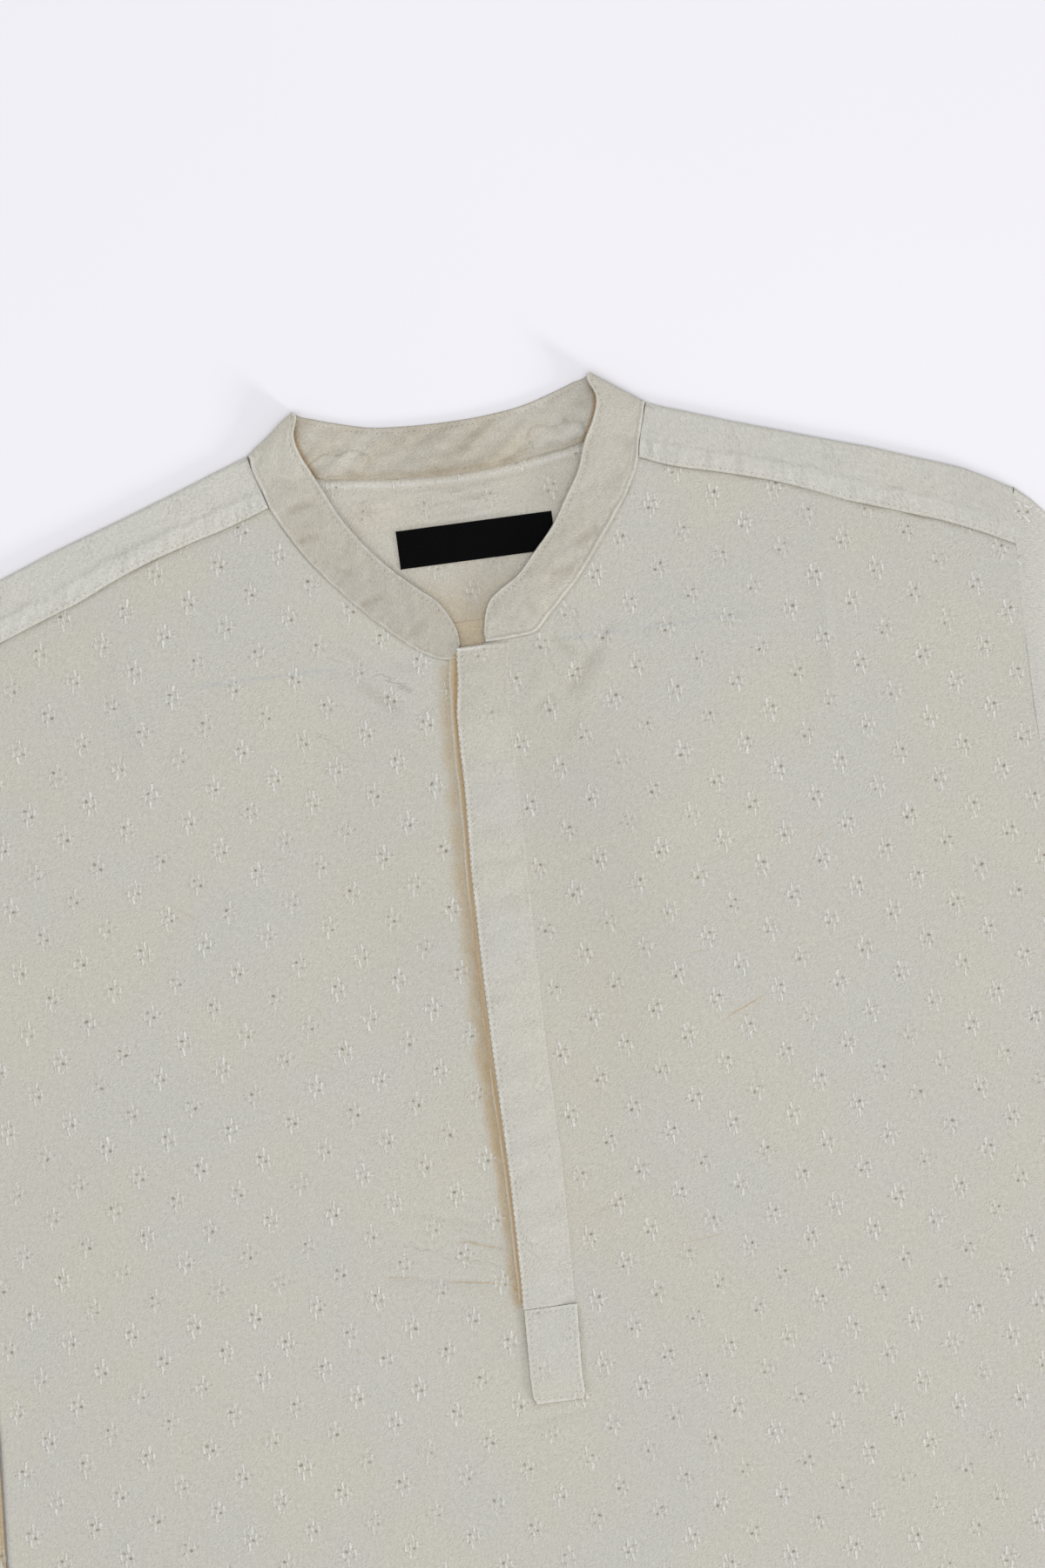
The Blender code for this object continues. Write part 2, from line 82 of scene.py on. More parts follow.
# Lengths down the front
COLLAR_TOP = -17.5
YOKE_SEAM = 88.3
UNDERARM = 296.0
SLIT_END = 425.0
HEM = 760.0
Y_OF_BASE_LINE = (HEM + COLLAR_TOP) / 2

SLIT_HALF_GAP = 0.6
SLEEVE_GROOVE = 0.7
CUFF_INNER = 636.0
YOKE_END = 12.0
GROOVE_REACH = 60.0
HEM_WIDTH = 19.0
CUFF_TURN = 12.0
SEAM_CLEAR = 0.1
PLACKET_LAYER = 0.7

# Half of the shoulder outline, from the collar to the armhole: half width, v
SHOULDER = (
    (92.4, -0.4),
    (108.0, 5.2),
    (131.5, 13.5),
    (162.6, 23.8),
    (190.5, 33.0),
    (212.0, 41.0),
    (232.0, 48.4),
    (254.1, 60.4),
)

# Half of the forward shoulder seam, from the collar to the armhole: half width, v
FORWARD_SEAM = (
    (85.6, 24.6),
    (98.0, 29.4),
    (121.0, 35.8),
    (151.0, 45.2),
    (181.0, 57.6),
    (206.0, 66.4),
    (228.0, 75.0),
    (251.8, 86.4),
)

# Half of the armhole and of the body's side: v, half width
ARMHOLE = (
    (60.4, 254.1),
    (86.4, 251.8),
    (120.0, 250.7),
    (160.0, 250.5),
    (200.0, 251.4),
    (250.0, 255.4),
    (UNDERARM, 262.0),
)
SIDE = (
    (UNDERARM, 262.0),
    (350.0, 262.6),
    (434.0, 264.2),
    (492.0, 268.5),
    (560.0, 272.0),
    (660.0, 277.0),
    (HEM, 282.0),
)

# Outer fold of the right sleeve, from the shoulder to the cuff: u, v
SLEEVE_OUTER = (
    (254.5, 60.4),
    (267.2, 71.8),
    (300.0, 122.0),
    (338.0, 188.0),
    (370.0, 240.0),
    (392.0, 285.0),
    (403.0, 325.0),
    (406.0, 365.0),
    (403.0, 410.0),
    (397.0, 480.0),
    (392.0, 550.0),
    (388.0, 620.0),
)

# Half of the collar band, from its side fold to its front end:
# base u, base v, edge u, edge v, height of the edge
COLLAR_LEFT = (
    (-92.0, -0.3, -68.7, -17.4, 8.3),
    (-90.6, 7.0, -69.7, -6.0, 8.3),
    (-87.7, 16.5, -68.0, 2.6, 8.2),
    (-85.2, 25.0, -64.3, 10.8, 8.0),
    (-79.7, 36.0, -59.8, 20.5, 7.6),
    (-72.6, 48.2, -53.6, 33.6, 7.2),
    (-62.2, 62.6, -43.6, 48.6, 6.8),
    (-52.0, 74.4, -33.8, 60.0, 6.5),
    (-38.0, 88.8, -21.6, 71.4, 6.1),
    (-27.4, 98.0, -13.9, 78.4, 5.6),
    (-19.2, 102.8, -9.8, 85.4, 5.2),
    (-13.6, 104.7, -7.2, 92.2, 4.9),
    (-9.6, 105.0, -6.6, 98.0, 4.6),
)
COLLAR_RIGHT = (
    (92.7, -0.5, 68.7, -17.5, 8.3),
    (90.2, 7.5, 70.5, -5.4, 8.3),
    (87.6, 16.5, 67.8, 4.4, 8.2),
    (86.0, 24.4, 63.0, 13.2, 8.0),
    (79.6, 38.0, 57.6, 27.2, 7.6),
    (72.2, 48.8, 50.8, 38.0, 7.2),
    (62.4, 61.6, 43.0, 50.2, 6.8),
    (51.6, 75.0, 33.2, 61.0, 6.5),
    (37.4, 88.8, 22.8, 71.6, 6.1),
    (27.8, 97.4, 14.6, 76.6, 5.7),
    (18.6, 98.5, 9.2, 81.2, 5.4),
    (11.2, 98.9, 6.6, 87.4, 5.2),
    (5.3, 99.2, 5.3, 94.6, 5.0),
)
SEAM_ROW = 3

# Back of the collar band, from the left fold to the right: base u, base v, edge u, edge v
COLLAR_BACK = (
    (-78.0, 7.9, -59.7, -12.7),
    (-60.0, 14.4, -49.5, -9.4),
    (-40.0, 17.2, -34.6, -5.5),
    (-20.0, 19.2, -18.0, -3.9),
    (0.0, 20.0, 0.0, -3.4),
    (20.0, 19.2, 17.0, -3.9),
    (40.0, 17.0, 35.6, -6.1),
    (60.0, 13.8, 50.1, -10.1),
    (78.0, 7.6, 60.3, -13.6),
)

# Front placket: v, left edge, right edge, lift of the free left edge
PLACKET = (
    (100.3, -8.6, 15.4, 1.2),
    (120.0, -9.5, 12.4, 2.4),
    (144.0, -11.2, 11.3, 2.6),
    (170.0, -12.4, 10.9, 2.5),
    (200.0, -14.4, 10.1, 2.3),
    (240.0, -15.5, 8.9, 2.0),
    (282.0, -16.0, 7.9, 1.8),
    (343.0, -16.1, 7.6, 1.5),
    (390.0, -17.3, 5.8, 1.0),
    (404.0, -18.1, 5.2, 0.8),
)
UNDER_TOP = 105.6
UNDER_END = 400.0
UNDER_PAST_SLIT = 2.0

# End box over the placket's foot: v, left edge, right edge
TAB = (
    (404.6, -18.0, 6.4),
    (420.0, -18.6, 5.4),
    (437.0, -19.3, 4.4),
    (445.0, -19.2, 4.8),
    (448.0, -17.6, 3.4),
)

# Blank label inside the back neck
LABEL_LEFT = -28.9
LABEL_RIGHT = 43.0
LABEL_TOP = 43.2
LABEL_BOTTOM = 60.6

# Largest soft folds: start u, start v, end u, end v, half width, height
FOLDS = (
    (-165.0, 82.0, -154.0, 142.0, 7.0, 0.7),
    (162.5, 84.0, 161.0, 152.0, 7.0, 0.7),
    (-120.0, 520.0, -96.0, 720.0, 16.0, 0.7),
    (96.0, 560.0, 124.0, 740.0, 18.0, 0.6),
    (-196.0, 600.0, -214.0, 735.0, 14.0, 0.6),
    (205.0, 470.0, 190.0, 640.0, 16.0, 0.6),
    (-284.0, 314.0, -352.0, 248.0, 9.0, 0.8),
    (284.0, 314.0, 352.0, 248.0, 9.0, 0.8),
    (-288.0, 346.0, -378.0, 322.0, 10.0, 0.7),
    (288.0, 344.0, 378.0, 318.0, 10.0, 0.7),
    (-276.0, 292.0, -304.0, 200.0, 8.0, 0.8),
    (276.0, 292.0, 306.0, 196.0, 8.0, 0.8),
    (-330.0, 430.0, -344.0, 590.0, 14.0, 0.6),
    (340.0, 440.0, 330.0, 600.0, 14.0, 0.6),
)

# Small creases of the front: start u, start v, end u, end v, half width, height
CREASES = (
    (-165.0, 77.0, -154.0, 144.0, 1.8, 0.40),
    (162.5, 80.0, 161.0, 153.0, 1.8, 0.40),
    (-58.0, 106.0, -35.0, 128.0, 3.4, -0.75),
    (-44.0, 100.0, -27.0, 108.5, 2.8, -0.46),
    (-72.0, 103.0, -52.0, 106.0, 2.4, -0.40),
    (-63.0, 91.0, -50.0, 103.0, 2.4, -0.45),
    (-36.0, 130.0, -20.0, 123.0, 1.7, -0.40),
    (-48.0, 132.0, -30.0, 148.0, 2.0, -0.40),
    (58.0, 106.0, 38.0, 130.0, 3.2, -1.00),
    (34.0, 98.0, 46.0, 111.0, 2.8, -0.85),
    (20.0, 134.0, 36.0, 124.0, 2.1, -0.65),
    (64.0, 95.0, 54.0, 113.0, 1.7, -0.50),
    (28.0, 110.0, 18.0, 126.0, 1.7, -0.45),
    (72.0, 105.0, 94.0, 97.0, 1.8, -0.36),
    (44.0, 134.0, 32.0, 152.0, 2.0, -0.36),
    (-74.0, 351.0, -22.0, 366.0, 1.7, -0.45),
    (-46.0, 367.0, -19.0, 377.0, 1.5, -0.55),
    (-86.0, 381.0, -26.0, 391.0, 1.6, -0.50),
    (12.0, 368.0, 48.0, 352.0, 1.8, -0.34),
    (-62.0, 236.0, -24.0, 246.0, 2.0, -0.30),
    (18.0, 208.0, 60.0, 196.0, 2.2, -0.30),
    (-120.0, 176.0, -88.0, 190.0, 2.2, -0.26),
    (86.0, 214.0, 118.0, 200.0, 2.2, -0.26),
    (-30.0, 458.0, 12.0, 452.0, 2.0, -0.36),
)

# A crease is a line with a fall beside it: the fall's depth, its place and its width, in half
# widths of the line, and the share of the crease that the weave's fine relief adds
CREASE_FALL = 0.6
CREASE_SHIFT = 2.2
CREASE_SIDE = 1.5
CREASE_IN_WEAVE = 0.4

# Soft unevenness of the faces: height, size, seed
YOKE_INSIDE = (
    (0.10, 45.0, 21),
    (0.05, 14.0, 22),
)
YOKE_SHOULDER = (
    (0.16, 26.0, 33),
    (0.09, 9.0, 34),
)
FRONT_FACE = (
    (0.15, 70.0, 41),
    (0.05, 19.0, 42),
)
SLEEVE_FACE = (
    (0.22, 60.0, 51),
    (0.08, 18.0, 53),
)

# Colours, as they look in even light, and tints of painted light: the tan is painted warm shade,
# the seam shade painted shade, the pale partly painted highlight and the brown partly painted shade
ECRU = (204, 202, 193)
# painted warm shade for deep gaps, folds and the dents between stitches
WARM_SHADE = (198, 173, 130)
SEAM_SHADE = (128, 112, 86)
# pale of the floats and the thread, and also painted highlight on raised edges, ridges and folds
PALE_AND_HIGHLIGHT = (236, 235, 229)
# brown of the faint brown lines, and painted shade in the gap under the placket's edge and under
# the bands' inner edges
LINE_AND_SHADE_BROWN = (188, 148, 90)
BLUE_GREY = (168, 174, 190)
COLLAR_ECRU = (205, 202, 192)
LABEL_BLACK = (4, 4, 5)
LABEL_RIB = (12, 12, 13)

# Change of the cloth's colour where it is a little warmer
WARMER_BY = (1, 0, -3)

# Soft random patterns of the cloth: scale along, scale across, detail, roughness, start
WARP = (1.6, 0.42, 3.0, 0.6, 0.0)
WEFT = (0.42, 1.6, 3.0, 0.6, 9.0)
GRAIN = (1.5, 1.5, 3.0, 0.7, 4.0)
CLOUD = (0.016, 0.016, 4.0, 0.55, 2.0)
TWILL = (1.15, 0.32, 2.0, 0.6, 6.0)
BEND_U = (0.30, 0.30, 1.0, 0.5, 5.0)
BEND_V = (0.30, 0.30, 1.0, 0.5, 7.0)
BREAKS = (0.55, 0.55, 1.0, 0.5, 3.0)
LABEL_GRAIN = (1.6, 1.6, 3.0, 0.6, 0.0)

# Weave
GRAIN_SHARE = 1.3
TWILL_SHARE = 1.6
THREADS_MIDDLE = 2.45
THREADS_HEIGHT = 0.36
THREADS_CONTRAST = 0.27
CLOUD_CONTRAST = 0.045
CREASE_SHADE = 0.17
RIB_PITCH = 0.55
RIB_HEIGHT = 0.04
LABEL_GRAIN_HEIGHT = 0.15

# Topstitching: middle, half width and soft edge of the line and of each stitch in its pitch
STITCH_LINE = (1.0, 0.18, 0.12)
STITCH_DASH = (0.5, 0.34, 0.08)
STITCH_PITCH = 2.6
STITCH_HEIGHT = 0.12
STITCH_DIP = 0.22
STITCH_PALE = 0.35
STITCH_TAN = 0.45

# Motif
MOTIF_PITCH = 28.6
MOTIF_FIRST = (145.4, 103.7)
MOTIF_SECOND = (129.9, 118.6)
WEFT_SLOPE = 0.0082
MIRROR_LINE = 4.0
MOTIF_JITTER = 0.8
MOTIF_BEND = 1.8
HOLE_FLOOR = 0.3
HOLE_RIM = 1.4
HOLE_TURNS = 7.31
HOLE_STEP = 0.37
HOLE_DEPTH = 0.38
HOLE_SHADE = 0.72
FLOAT_SIDE_SOFT = 0.32
FLOAT_END_SOFT = 0.5
FLOAT_HEIGHT = 0.42
FLOAT_PALE = 0.86
RIM_SHADE = 0.24

# Pin-holes of one motif: u, v, radius, depth
HOLES = (
    (1.3, -1.35, 0.70, 1.0),
    (-1.3, 1.35, 0.70, 1.0),
    (-1.7, -2.3, 0.46, 0.5),
    (2.0, 2.3, 0.46, 0.5),
    (-4.3, -0.3, 0.42, 0.4),
    (4.4, 0.6, 0.42, 0.4),
)

# Raised floats of one motif: u, v, half width, half length, height
FLOATS = (
    (-0.9, -3.6, 0.52, 1.9, 1.0),
    (0.7, -5.2, 0.44, 0.9, 0.55),
    (0.9, 3.8, 0.52, 2.0, 1.0),
    (-0.6, 5.4, 0.44, 0.9, 0.55),
    (0.1, 0.1, 0.48, 1.0, 0.9),
    (-2.7, -0.5, 0.50, 1.6, 0.9),
    (2.8, 0.6, 0.50, 1.6, 0.9),
    (-4.3, 0.7, 0.9, 0.42, 0.55),
    (4.4, -0.6, 0.9, 0.42, 0.55),
    (-2.5, 3.0, 0.44, 1.2, 0.7),
    (2.6, -2.9, 0.44, 1.2, 0.7),
    (-2.6, -3.3, 0.40, 0.8, 0.45),
    (2.7, 3.4, 0.40, 0.8, 0.45),
)

# Soft shades of the front beside the placket: u, v, half width, half length, share
FRONT_SHADES = (
    (26.0, 150.0, 62.0, 92.0, 0.055),
    (20.0, 107.0, 17.0, 14.0, 0.060),
    (46.0, 244.0, 46.0, 110.0, 0.055),
    (-52.0, 200.0, 44.0, 112.0, 0.040),
)

# Faint brown lines, several along the creases: start u, start v, end u, end v, half width, strength
FAINT_BROWN_LINES = (
    (-156.3, 197.7, -139.8, 209.9, 0.45, 0.22),
    (-93.5, 255.4, -92.0, 257.4, 0.6, 0.30),
    (-104.3, 277.2, -85.2, 285.7, 0.4, 0.22),
    (90.4, 284.6, 111.8, 275.3, 0.40, 0.60),
    (53.0, 384.6, 77.6, 381.8, 0.45, 0.26),
    (103.0, 411.0, 105.5, 412.5, 0.7, 0.40),
    (-39.5, 370.0, -34.0, 372.0, 0.6, 0.50),
    (-79.6, 381.3, -63.8, 383.4, 0.55, 0.34),
    (-97.0, 413.0, -94.0, 414.5, 0.7, 0.30),
    (-21.6, 394.0, -20.0, 395.0, 1.0, 0.70),
    (143.4, 207.3, 147.0, 205.8, 0.45, 0.40),
    (80.2, 251.8, 87.7, 252.8, 0.45, 0.26),
    (-52.0, 387.0, -24.0, 391.5, 0.5, 0.42),
    (-46.0, 369.0, -22.0, 376.0, 0.45, 0.45),
)

# Faint blue-grey lines across the chest: start u, end u, v
BLUE_GREY_LINES = (
    (-133.6, -59.0, 101.8),
    (37.8, 142.7, 101.8),
)

# Middle line of the right sleeve's cloth, from inside the armhole to the cuff: u, v
SLEEVE_MIDDLE = (
    (180.0, 72.0),
    (279.0, 226.0),
    (322.0, 296.0),
    (334.0, 345.0),
    (335.0, 400.0),
    (332.0, 480.0),
    (331.0, 640.0),
)
# Cloth coordinates of the middle line's start
SLEEVE_START = (109.0, -10.0)

# How far the pressed fold of the band pulls in under itself, as a share of a round fold
FOLD_PULL = 0.3

# Raised marks on the collar's inner back: u, v, half length, half height
PATCHES = (
    (-56.5, 9.6, 8.2, 5.0),
    (-44.5, 8.6, 7.4, 4.4),
    (-50.5, 9.2, 6.0, 3.6),
    (42.5, 9.0, 5.6, 4.6),
    (55.5, 8.6, 7.6, 4.8),
    (49.0, 8.6, 4.5, 3.2),
)

# Soft creases across the bands: start u, start v, end u, end v, half width, height
BAND_CREASES = (
    (-80.0, 27.4, -62.0, 24.8, 2.3, -0.50),
    (-76.5, 41.2, -62.5, 40.4, 2.0, -0.42),
    (-51.5, 75.0, -37.5, 71.2, 2.2, -0.46),
    (-84.0, 12.0, -70.0, 17.0, 2.4, -0.30),
    (-60.0, 56.0, -50.0, 60.0, 2.0, -0.34),
    (-30.0, 92.0, -20.0, 84.0, 2.2, -0.36),
    (36.5, 71.4, 51.0, 70.2, 2.3, -0.48),
    (49.5, 60.4, 65.0, 52.0, 2.6, -0.50),
    (66.0, 38.0, 79.0, 30.0, 2.4, -0.34),
    (74.0, 12.0, 86.0, 18.0, 2.4, -0.28),
    (24.0, 80.0, 31.0, 90.0, 2.2, -0.34),
)

# Shade of the bands down each side: v, share
BAND_SHADE_LEFT = (
    (-18.0, 0.0),
    (9.0, 0.0),
    (35.0, 0.11),
    (61.0, 0.16),
    (94.0, 0.19),
    (105.0, 0.14),
)
BAND_SHADE_RIGHT = (
    (-18.0, 0.04),
    (13.0, 0.07),
    (40.0, 0.10),
    (58.0, 0.14),
    (72.0, 0.11),
    (86.0, 0.06),
    (100.0, 0.05),
)

# Facing and gap beside the placket: v, width shown, place and depth of the gap's line of painted
# dark shade, shift of the placket's own edge
BESIDE_PLACKET = (
    (100.3, 2.5, 0.5, 0.5, 0.3),
    (108.0, 4.2, 0.8, 0.8, 0.1),
    (114.0, 5.0, 1.5, 1.0, -0.1),
    (122.0, 5.0, 2.3, 1.0, -1.0),
    (130.0, 5.0, 2.5, 1.0, -1.8),
    (145.0, 4.9, 2.4, 0.7, -1.3),
    (160.0, 4.0, 2.2, 0.60, -0.8),
    (200.0, 3.4, 1.8, 0.55, -0.5),
    (240.0, 3.2, 2.8, 0.85, -0.3),
    (300.0, 3.0, 2.0, 0.85, -0.2),
    (360.0, 2.4, 1.1, 0.70, 0.0),
    (404.0, 2.0, 0.9, 0.80, 0.0),
)

# Floor
FLOOR_REACH = 6.0
FLOOR_CLEAR = 0.0004
FLOOR_TONE = (239, 238, 243)
FLOOR_PALER = (242, 241, 246)

# Camera, in metres, degrees and millimetres
VIEW_CENTRE = (0.0133, 0.20565)
VIEW_HEIGHT = 1.70
VIEW_TURN = -7.65
LENS = 85.0
SENSOR = 36.0

# Area lights: name, place, size, power, colour
LIGHTS = (
    ("overhead", (0.0, 0.12, 3.2), 2.4, 45.5, (1.0, 0.99, 0.97)),
    ("low", (2.9, -2.6, 1.22), 0.9, 66.0, (1.0, 0.99, 0.98)),
)
# Even light from all round
WORLD_COLOUR = (0.96, 0.97, 1.0, 1.0)
WORLD_STRENGTH = 0.57


def smooth_step(x):
    """Rise from 0 to 1 with level ends."""
    x = np.clip(x, 0.0, 1.0)
    return x * x * (3.0 - 2.0 * x)


def rise(x, reach):
    """Smooth rise from 0 to 1 over a reach."""
    return smooth_step(x / reach)


def fade(x, reach):
    """Smooth fall from 1 to 0 over a reach."""
    return 1.0 - smooth_step(x / reach)


def hill(x, half_width):
    """Soft hill of height 1 that ends a half width from its middle."""
    return np.cos(np.clip(np.asarray(x) / half_width, -1.0, 1.0) * math.pi / 2) ** 2


def column(table, index):
    """One column of a table."""
    return np.array([row[index] for row in table])


def along(table, value, index=1):
    """Straight runs through a table's rows, read at a value of its first column."""
    return np.interp(value, column(table, 0), column(table, index))


def unit(vector):
    """The vector at a length of 1."""
    vector = np.asarray(vector, float)
    return vector / np.linalg.norm(vector)


def lengths(line):
    """Running length along a line of points."""
    steps = np.linalg.norm(np.diff(line, axis=0), axis=1)
    return np.concatenate(([0.0], np.cumsum(steps)))


def smooth_curve(points, knots, at):
    """Smooth curve through points whose places along it are the knots."""
    points = np.asarray(points, float)
    knots = np.asarray(knots, float)
    at = np.clip(np.asarray(at, float), knots[0], knots[-1])
    wide = (-1,) + (1,) * (points.ndim - 1)
    step = np.diff(knots).reshape(wide)
    slope = np.diff(points, axis=0) / step
    inside = (slope[:-1] * step[1:] + slope[1:] * step[:-1]) / (step[:-1] + step[1:])
    tangent = np.concatenate([slope[:1], inside, slope[-1:]])
    k = np.clip(np.searchsorted(knots, at, side="right") - 1, 0, len(knots) - 2)
    h = step[k]
    f = (at - knots[k]).reshape(wide) / h
    return ((2 * f ** 3 - 3 * f ** 2 + 1) * points[k] + (f ** 3 - 2 * f ** 2 + f) * h * tangent[k]
            + (3 * f ** 2 - 2 * f ** 3) * points[k + 1] + (f ** 3 - f ** 2) * h * tangent[k + 1])


def smooth_line(points, count):
    """A smooth line of evenly spaced points through a few points."""
    points = np.asarray(points, float)
    knots = lengths(points)
    return smooth_curve(points, knots, np.linspace(0.0, knots[-1], count))


def by_length(points, count):
    """Points at even lengths along a broken line."""
    points = np.asarray(points, float)
    length = lengths(points)
    wanted = np.linspace(0.0, length[-1], count)
    return np.column_stack([np.interp(wanted, length, points[:, k]) for k in (0, 1)])


def rounded(points, passes=2):
    """A broken line with its corners cut, and its two ends kept."""
    points = np.asarray(points, float)
    for _ in range(passes):
        low = 0.75 * points[:-1] + 0.25 * points[1:]
        high = 0.25 * points[:-1] + 0.75 * points[1:]
        middle = np.column_stack([low, high]).reshape(-1, 2)
        points = np.vstack([points[:1], middle[1:-1], points[-1:]])
    return points


def body_half_width(v):
    """Half of the body's width, at the armhole or at the side."""
    return np.where(v < UNDERARM, along(ARMHOLE, v), along(SIDE, v))


def sleeve_inner_u(v):
    """Inner fold of the right sleeve, just clear of the body's side."""
    groove = ARMHOLE_GAP + (SLEEVE_GROOVE - ARMHOLE_GAP) * rise(v - UNDERARM, GROOVE_REACH)
    return along(SIDE, v) + groove


def tree_of(points):
    """Search tree over points of the plan."""
    tree = KDTree(len(points))
    for k, (u, v) in enumerate(points):
        tree.insert((float(u), float(v), 0.0), k)
    tree.balance()
    return tree


def fold_lines():
    """Points along every folded edge of the garment, both sides."""
    inner_v = np.linspace(UNDERARM, CUFF_INNER, 160)
    side_v = np.linspace(UNDERARM, HEM, 200)
    right = np.vstack([
        by_length(SHOULDER, 80),
        by_length(rounded(SLEEVE_OUTER), 300),
        np.column_stack([sleeve_inner_u(inner_v), inner_v]),
        np.column_stack([along(SIDE, side_v), side_v]),
    ])
    return np.vstack([right, right * (-1.0, 1.0)])


def slit_middle(v):
    """Middle of the placket, where the front is slit."""
    return (along(PLACKET, v) + along(PLACKET, v, 2)) / 2


def placket_line():
    """Points along the neck seam, the placket and its end box, where the cloth lies low."""
    v = np.linspace(PLACKET[0][0], TAB[-1][0], 120)
    neck = [by_length([row[:2] for row in rows], 50) for rows in (COLLAR_LEFT, COLLAR_RIGHT)]
    return np.vstack([np.column_stack([slit_middle(v), v])] + neck)


FOLD_TREE = tree_of(fold_lines())
LOW_TREE = tree_of(placket_line())


def distance(u, v, tree):
    """Distance in the plan to the nearest of a tree's points."""
    u, v = np.broadcast_arrays(u, v)
    found = [tree.find((a, b, 0.0))[2] for a, b in zip(u.ravel(), v.ravel())]
    return np.array(found).reshape(u.shape)


def beside_line(u, v, start_u, start_v, end_u, end_v):
    """Share of the way along a straight run, and the signed distance from it."""
    run_u = end_u - start_u
    run_v = end_v - start_v
    length = math.hypot(run_u, run_v)
    share = ((u - start_u) * run_u + (v - start_v) * run_v) / length ** 2
    held = np.clip(share, 0.0, 1.0)
    off_u = u - start_u - run_u * held
    off_v = v - start_v - run_v * held
    side = np.sign((u - start_u) * run_v - (v - start_v) * run_u)
    return share, np.hypot(off_u, off_v) * np.where(side == 0.0, 1.0, side)


def faded_ends(share, reach, start=0.0):
    """1 along a line's run, falling softly to a start value at both of its ends."""
    return smooth_step(share / reach + start) * smooth_step((1.0 - share) / reach + start)


def soft_fold(u, v, start_u, start_v, end_u, end_v, half_width, height):
    """Height that one soft fold adds, fading at its sides and its ends."""
    share, across = beside_line(u, v, start_u, start_v, end_u, end_v)
    ends = faded_ends(share, reach=0.3, start=0.3)
    return height * ends * np.exp(-(across / half_width) ** 2)


def crease(u, v, start_u, start_v, end_u, end_v, half_width, height):
    """A small ridge with a trough on one side, fading at its ends."""
    share, across = beside_line(u, v, start_u, start_v, end_u, end_v)
    ends = faded_ends(share, reach=0.25)
    ridge = np.exp(-(across / half_width) ** 2)
    trough = np.exp(-((across / half_width - CREASE_SHIFT) / CREASE_SIDE) ** 2)
    return height * ends * (ridge - CREASE_FALL * trough)


def nearest_line(u, v, rows):
    """Signed distance from the nearest line, in its half widths, and that line's height."""
    farthest = 9.0
    nearest = np.full(u.shape, farthest)
    height_there = np.zeros(u.shape)
    for start_u, start_v, end_u, end_v, half_width, height in rows:
        share, across = beside_line(u, v, start_u, start_v, end_u, end_v)
        off = np.clip(across / half_width, -farthest, farthest)
        nearer = np.abs(off) < np.abs(nearest)
        ends = faded_ends(share, reach=0.25, start=0.1)
        nearest = np.where(nearer, off, nearest)
        height_there = np.where(nearer, height * ends, height_there)
    return nearest, height_there


def top_height(u, v):
    """Height of the upper face of the front layer, without its small creases."""
    away_from_edge = rise(distance(u, v, FOLD_TREE), PUFF_REACH)
    away_from_placket = rise(distance(u, v, LOW_TREE) - PLACKET_REACH, PUFF_REACH)
    folds = sum(soft_fold(u, v, *row) for row in FOLDS)
    return FOLD_HEIGHT + away_from_edge * (PUFF * away_from_placket + folds)


def ripple(u, v, size, seed):
    """Soft random unevenness of about the given size, from -1 to 1."""
    random = np.random.default_rng(seed)
    total = np.zeros(np.broadcast(u, v).shape)
    waves = 9
    for _ in range(waves):
        angle = random.uniform(0.0, math.pi)
        wave = size * random.uniform(*WAVE_SIZES)
        phase = random.uniform(0.0, 2.0 * math.pi)
        place = u * math.cos(angle) + v * math.sin(angle)
        total = total + np.sin(2.0 * math.pi * place / wave + phase)
    return total / math.sqrt(waves)


def unevenness(u, v, rows, shift=0):
    """Sum of several soft unevennesses, each with its height, size and seed."""
    return sum(height * ripple(u, v, size, seed + shift) for height, size, seed in rows)


class Piece:
    """Points, faces, cloth coordinates and named fields of one piece, gathered grid by grid."""

    def __init__(self):
        self.points = []
        self.cloth = []
        self.fields = {}
        self.faces = []
        self.count = 0

    def grid(self, points, cloth, **fields):
        """Adds a grid of points (rows, columns, 3) and returns its point numbers."""
        rows, columns = points.shape[:2]
        numbers = self.count + np.arange(rows * columns).reshape(rows, columns)
        self.points.append(points.reshape(-1, 3))
        self.cloth.append(np.broadcast_to(cloth, (rows, columns, 2)).reshape(-1, 2))
        for name in set(fields) | set(self.fields):
            store = self.fields.setdefault(name, [np.zeros(self.count)] if self.count else [])
            value = fields.get(name, 0.0)
            store.append(np.broadcast_to(value, (rows, columns)).ravel())
        self.count += rows * columns
        return numbers

    def fill(self, numbers):
        """Four-sided faces between the rows of a grid of point numbers."""
        corners = (numbers[:-1, :-1], numbers[1:, :-1], numbers[1:, 1:], numbers[:-1, 1:])
        self.faces.append(np.stack([corner.ravel() for corner in corners], axis=1))

    def build(self, name, material, body="root"):
        """The piece as an object of the scene, riding on its body."""
        points = np.concatenate(self.points)
        world = np.column_stack([points[:, 0], Y_OF_BASE_LINE - points[:, 1], points[:, 2]]) * MM
        faces = np.concatenate(self.faces)
        mesh = bpy.data.meshes.new(name)
        mesh.vertices.add(len(world))
        mesh.vertices.foreach_set("co", world.astype(np.float32).ravel())
        mesh.loops.add(faces.size)
        mesh.loops.foreach_set("vertex_index", faces.astype(np.int32).ravel())
        mesh.polygons.add(len(faces))
        mesh.polygons.foreach_set("loop_start", np.arange(0, faces.size, 4, dtype=np.int32))
        cloth = np.concatenate(self.cloth)[faces.ravel()] * MM
        layer = mesh.uv_layers.new(name="cloth")
        layer.data.foreach_set("uv", cloth.astype(np.float32).ravel())
        for field, values in self.fields.items():
            stored = mesh.attributes.new(field, "FLOAT", "POINT")
            stored.data.foreach_set("value", np.concatenate(values).astype(np.float32))
        mesh.update(calc_edges=True)
        mesh.validate()
        mesh.shade_smooth()
        mesh.set_sharp_from_angle(angle=math.radians(SHARP_ANGLE))
        mesh.materials.append(material)
        made = bpy.data.objects.new(name, mesh)
        bpy.context.scene.collection.objects.link(made)
        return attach(made, body)


